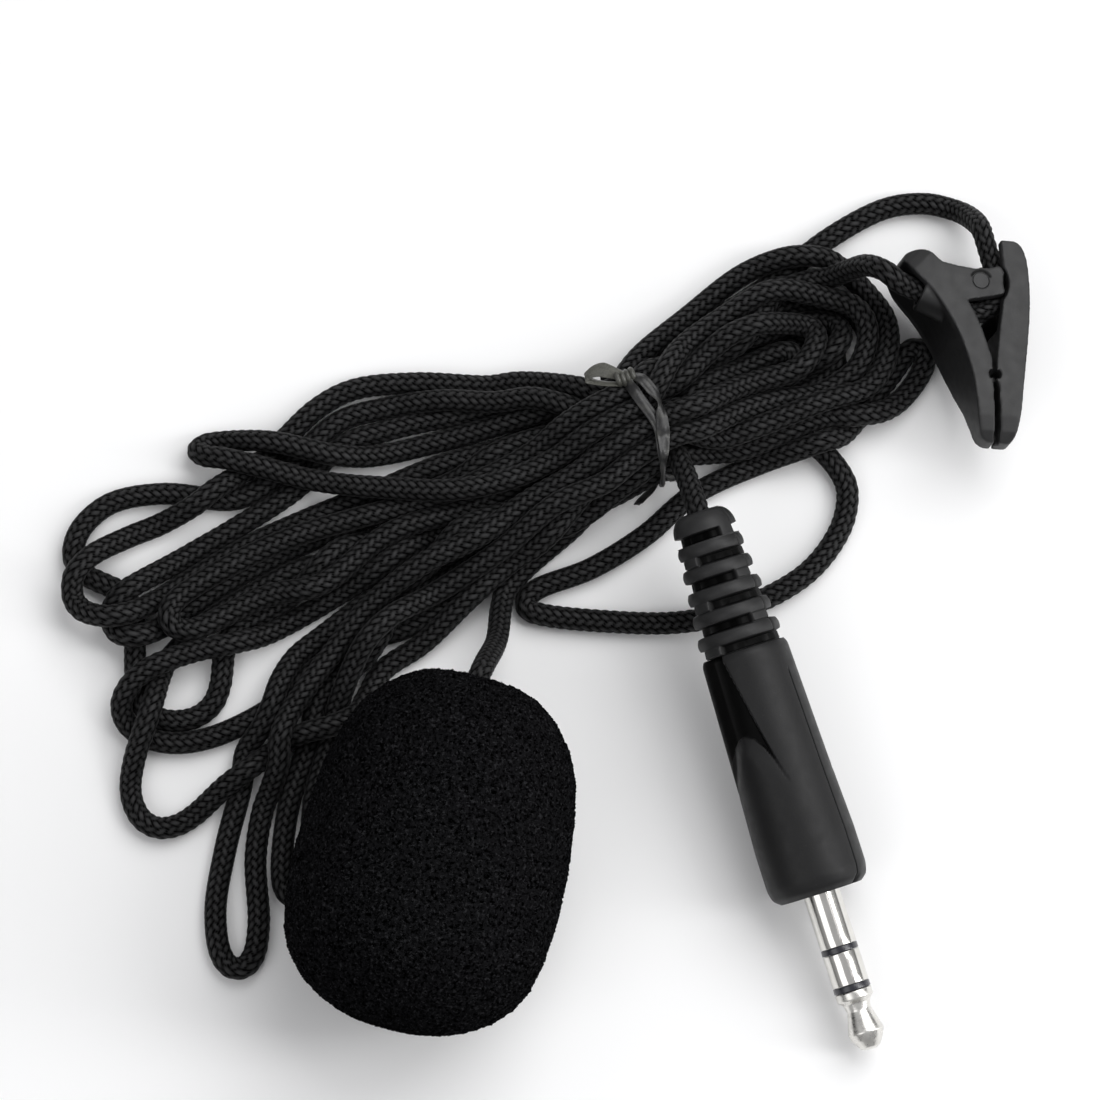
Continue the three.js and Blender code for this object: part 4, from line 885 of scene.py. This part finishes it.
def tie_wrap(stations, centre, cord):
    """Over the bundle, round under it along the CAD tie, over it again and down to a loose tail."""
    low = stations[:, 2] < 6
    starts = np.flatnonzero(low & ~np.roll(low, 1))
    under, last = [stations[k:k + int(np.argmin(np.append(low[k:], False)))] for k in starts[-2:]]
    over = [laid([(centre[0] + x, centre[1] + y) for x, y in band], cord, lift)
            for band, lift in ((RIGHT_BAND, 0.32), (LEFT_BAND, 0.1))]
    tail = [(centre[0] + x, centre[1] + y, z) for x, y, z in TAIL]
    points = smooth_curve(np.vstack([over[0], under, over[1], last[:-3], tail]), TIE_STEP, 8)
    along = np.array([math.cos(TIE_HEADING), math.sin(TIE_HEADING), 0])
    out = points - (centre[0], centre[1], 4.6)
    out = out - np.outer(out @ along, along)
    run = np.arange(len(points)) * TIE_STEP
    turn_at = np.linalg.norm(points[:, :2] - (np.array(centre[:2]) + RIGHT_BAND[-1]), axis=1)
    lengths = [np.linalg.norm(np.diff(part, axis=0), axis=1).sum() for part in (over[0], under, over[1])]
    second = smooth_step(run, lengths[0] + lengths[1] - 0.5, lengths[0] + lengths[1] + 1)
    second = second * (1 - smooth_step(run, sum(lengths) - 3, sum(lengths) - 1))
    twist = 1.2 * np.exp(-((run - TWIST_AT) / 0.9) ** 2) + 0.12 * np.sin(run * 0.8) - 0.6 * second
    pinched = 0.25 * np.exp(-((run - TWIST_AT) / 0.8) ** 2) + 0.6 * np.exp(-(turn_at / 1.1) ** 2)
    wider = 0.15 * np.exp(-((run - WIDE_AT) / 1.2) ** 2)
    width = RIBBON["width"] * (1 + wider - pinched)
    return ribbon(points, np.cross(unit(np.gradient(points, axis=0)), unit(out)), width, twist)


def tie_knot(centre, top):
    """Where the two ends are twisted round each other."""
    turns = np.arange(0, KNOT_TURNS, 0.02)
    axis, up = np.array([0.97, 0.2, 0]), np.array([0, 0, 1.0])
    side = np.cross(up, axis)
    radial = np.cos(2 * np.pi * turns)[:, None] * side + np.sin(2 * np.pi * turns)[:, None] * up
    size = KNOT_RADIUS + 0.1 * np.sin(turns * 5)
    start = np.array([centre[0] + KNOT_AT[0], centre[1] + KNOT_AT[1], top + 0.15])
    points = start + np.outer(turns * KNOT_PITCH, axis) + radial * size[:, None]
    return ribbon(points, np.tile(axis, (len(turns), 1)), 0.5 + 0 * turns, 0.15 * np.sin(turns * 9))


def tie_bow(centre, top):
    """The end folded back on itself in a flat loop."""
    points = smooth_curve(np.array([(centre[0] + x, centre[1] + y, top + z) for x, y, z in BOW]), TIE_STEP)
    t = np.linspace(0, 1, len(points))
    wide = np.tile([0.15, 0.97, 0.2], (len(points), 1))
    width = RIBBON["width"] * np.interp(t, [0, 0.25, 0.45, 0.6, 1], [0.85, 1.3, 0.8, 0.75, 0.7])
    return ribbon(points, wide, width, np.interp(t, [0, 0.2, 0.45, 0.65, 1], [0.5, 0, 0.2, 0.9, 1]))


def make_tie(material, cord):
    """The ribbon in three stretches: the bands with the tail, the knot and the paler bow."""
    stations, _ = ring_centres("twist_tie", sides=6)
    centre = stations.mean(0)
    top = cord_top(np.array([[centre[0] - 0.9, centre[1] + 4.1]]), cord)[0]
    co, faces, pale = [], [], []
    for (points, sets), worn in ((tie_wrap(stations, centre, cord), 0), (tie_knot(centre, top), 0.6),
                                 (tie_bow(centre, top), 1)):
        faces += [f + sum(len(c) for c in co) for f in sets]
        co.append(points)
        pale.append(np.full(len(points), float(worn)))
    new_piece("twist_tie_ribbon", np.vstack(co), faces, ROOT, material, ["twist_tie"],
              marks={"pale": np.concatenate(pale)})


# ------------------------------------------------------------------ the object

slide = JOINTS["windscreen_slide"]
head = axes_along("mic_housing", slide["axis"], towards=(0, 0, 100))
shoulder = MOUNTS["plug_shoulder"]
shoulder_at = np.array(shoulder["pos_m"]) / MM
plug = axes_along("sleeve_contact", shoulder["axis"], towards=shoulder_at, level=shoulder_at)
hinge = JOINTS["clip_hinge"]
pin_at, pin_z = np.array(hinge["pos_m"]) / MM, unit(np.array(hinge["axis"]))
beside = np.array(MOUNTS["clip_outer_face"]["pos_m"]) / MM - pin_at
clip_x = unit(4.25 * beside + 8 * np.cross(pin_z, beside))
clip = Axes(pin_at, clip_x, np.cross(pin_z, clip_x), pin_z)

NICKEL, STEEL, BRASS = (0.80, 0.785, 0.75), (0.55, 0.55, 0.56), (0.72, 0.56, 0.28)
ALUMINIUM, COPPER, GOLD = (0.72, 0.73, 0.74), (0.72, 0.38, 0.2), (0.8, 0.62, 0.27)

satin_black = grip_material("grip_plastic", base=0.0105, rough=0.46, shine=0.24)
boot_rubber = grip_material("boot_rubber", base=0.011, rough=0.5, shine=0.38)
clip_plastic = moulded("clip_plastic", base=0.0135, rough=0.46, depth=0.008, wear=0.08, shine=0.38)
head_plastic = moulded("head_plastic", base=0.014, rough=0.4)
soft_rubber = moulded("soft_rubber", base=0.01, rough=0.72)
nickel = metal("bright_nickel", NICKEL, rough=0.13, along=(0.5, 22, 0.5), scratch=0.002, tarnish=0.12)
tip_nickel = metal("tip_nickel", NICKEL, rough=0.27, along=(2, 2, 2), scratch=0.001, tarnish=0.12)
band = moulded("band_plastic", base=0.012, rough=0.25, blue=0.5, coat=0.4)
pin_paint = moulded("painted_pin", base=0.013, rough=0.5, shine=0.38)
spring_steel = metal("spring_wire", STEEL, rough=0.3, along=(6, 6, 6), scratch=0.004)
brass = metal("plain_brass", BRASS, rough=0.3, along=(5, 5, 5), scratch=0.004)
aluminium = metal("capsule_aluminium", ALUMINIUM, rough=0.3, along=(0.6, 12, 0.6), scratch=0.003)
copper = metal("copper_strands", COPPER, rough=0.35, along=(8, 8, 8), scratch=0.01)
film = metal("metallised_film", GOLD, rough=0.2, along=(2, 2, 2), scratch=0.002)
natural = moulded("natural_plastic", base=0.55, rough=0.5, blue=-0.1, wear=0.1)
board = moulded("solder_mask", base=0.06, rough=0.35, blue=-0.2)
red = moulded("red_insulation", base=0.3, rough=0.4)
cloth = braid_cloth("grille_cloth")

cord_line = make_cord(pin_at)
make_windscreen(head)
make_handle(plug, satin_black)
make_boot(plug, boot_rubber)
for node, material in (("tip_contact", tip_nickel), ("ring_contact", nickel), ("sleeve_contact", nickel),
                       ("ring_insulator", band), ("sleeve_insulator", band)):
    turned_piece(node + "_turned", node, plug, material, round_mm=0.12 if node == "tip_contact" else 0.05)
turned_piece("mic_housing_shell", "mic_housing", head, head_plastic, round_mm=0.15)
make_clip(clip, clip_plastic)
make_spring(spring_steel)
make_tie(ribbon_material(), cord_line)

INSIDE = {
    "mic_grille_cap": head_plastic, "capsule_can": aluminium, "grille_cloth": cloth,
    "diaphragm_ring": brass, "diaphragm": film, "spacer_ring": natural, "electret_plate": nickel,
    "plate_holder": natural, "field_effect_transistor": head_plastic, "capsule_circuit_board": board,
    "rubber_sleeve": soft_rubber, "cord_grommet": soft_rubber, "mic_signal_wire": red,
    "mic_shield_wire": copper, "clip_hinge_pin": pin_paint, "sleeve_lug": brass, "ring_lug": brass,
    "inner_moulding": natural, "plug_signal_wire": red, "plug_shield_wire": copper,
}
for node, material in INSIDE.items():
    data = frame["nodes"][node].data
    data.materials.clear()
    data.materials.append(material)
for node in ("mic_grille_cap", "cord_grommet"):
    weld = frame["nodes"][node].modifiers.new("weld", "WELD")
    weld.merge_threshold = 0.002 * MM
    bevel = frame["nodes"][node].modifiers.new("soft_edges", "BEVEL")
    bevel.width, bevel.segments, bevel.limit_method = 0.08 * MM, 2, "ANGLE"


# ------------------------------------------------------------------ floor, light and camera

FLOOR_HALF = 4000.0
FLOOR_DROP = 0.02  # below the object, so that the two don't share a plane
WORLD_STRENGTH = 0.49


def stage_material():
    s = Shader("pale_floor")
    tone = s.mix(s.noise(0.02, 2), grey(0.93), grey(0.96))
    s.set(Base_Color=tone, Roughness=0.7, Specular_IOR_Level=0.2)
    return s.material


def make_floor():
    """A floor wide enough that the camera never sees its edge."""
    co = FLOOR_HALF * np.array([[-1, -1, 0], [1, -1, 0], [1, 1, 0], [-1, 1, 0]])
    floor = new_piece("floor", co, [np.array([[0, 1, 2, 3]])], None, stage_material())
    floor.location.z = -FLOOR_DROP * MM


def soft_light(name, azimuth, elevation, distance, size, watts):
    """A rectangular lamp that looks at the origin, with distances in metres."""
    lamp = bpy.data.lights.new(name, "AREA")
    lamp.shape, lamp.size, lamp.size_y = "RECTANGLE", size[0], size[1]
    lamp.energy = watts
    obj = bpy.data.objects.new(name, lamp)
    bpy.context.scene.collection.objects.link(obj)
    a, e = math.radians(azimuth), math.radians(elevation)
    back = Vector((math.sin(a) * math.cos(e), -math.cos(a) * math.cos(e), math.sin(e)))
    obj.location = back * distance
    obj.rotation_mode = "QUATERNION"
    obj.rotation_quaternion = back.to_track_quat("Z", "Y")


def make_world():
    """Surroundings that the camera sees as pale, and surfaces as a bright ceiling over darker walls."""
    world = bpy.data.worlds.new("studio")
    world.use_nodes = True
    tree = world.node_tree
    tree.nodes.clear()
    out = tree.nodes.new("ShaderNodeOutputWorld")
    back = tree.nodes.new("ShaderNodeBackground")
    where = tree.nodes.new("ShaderNodeTexCoord")
    split = tree.nodes.new("ShaderNodeSeparateXYZ")
    ramp = tree.nodes.new("ShaderNodeValToRGB")
    ramp.color_ramp.elements[0].position, ramp.color_ramp.elements[0].color = 0.1, (0.42, 0.42, 0.42, 1)
    ramp.color_ramp.elements[1].position, ramp.color_ramp.elements[1].color = 0.75, (0.9, 0.9, 0.92, 1)
    path = tree.nodes.new("ShaderNodeLightPath")
    mix = tree.nodes.new("ShaderNodeMix")
    mix.data_type = "RGBA"
    mix.inputs[7].default_value = (0.93, 0.93, 0.93, 1)
    link = tree.links.new
    link(where.outputs["Generated"], split.inputs[0])
    link(split.outputs["Z"], ramp.inputs[0])
    link(path.outputs["Is Camera Ray"], mix.inputs[0])
    link(ramp.outputs[0], mix.inputs[6])
    link(mix.outputs[2], back.inputs["Color"])
    link(back.outputs[0], out.inputs["Surface"])
    back.inputs["Strength"].default_value = WORLD_STRENGTH
    bpy.context.scene.world = world


VIEW_ELEVATION = 79.0
VIEW_TARGET = (0.44, 5.9, 4.0)
VIEW_WIDTH = 103.5  # of the whole frame, at the target
VIEW_DISTANCE = 600.0


SENSOR = 36


def make_camera():
    """A long lens that looks down on the object from its near side."""
    data = bpy.data.cameras.new("camera")
    data.sensor_width = SENSOR
    data.lens = SENSOR * VIEW_DISTANCE / VIEW_WIDTH
    data.clip_start, data.clip_end = 0.01, 50
    obj = bpy.data.objects.new("camera", data)
    bpy.context.scene.collection.objects.link(obj)
    e = math.radians(VIEW_ELEVATION)
    back = Vector((0, -math.cos(e), math.sin(e)))
    obj.location = Vector(VIEW_TARGET) * MM + back * VIEW_DISTANCE * MM
    obj.rotation_mode = "QUATERNION"
    obj.rotation_quaternion = back.to_track_quat("Z", "Y")
    bpy.context.scene.camera = obj


make_floor()
make_world()
soft_light("key", azimuth=140, elevation=55, distance=0.6, size=(0.5, 0.5), watts=2.3)
soft_light("fill", azimuth=-50, elevation=50, distance=0.7, size=(0.4, 0.4), watts=0.7)
soft_light("side", azimuth=85, elevation=32, distance=0.6, size=(0.14, 0.5), watts=1.5)
make_camera()
bpy.context.scene.view_settings.view_transform = "Standard"
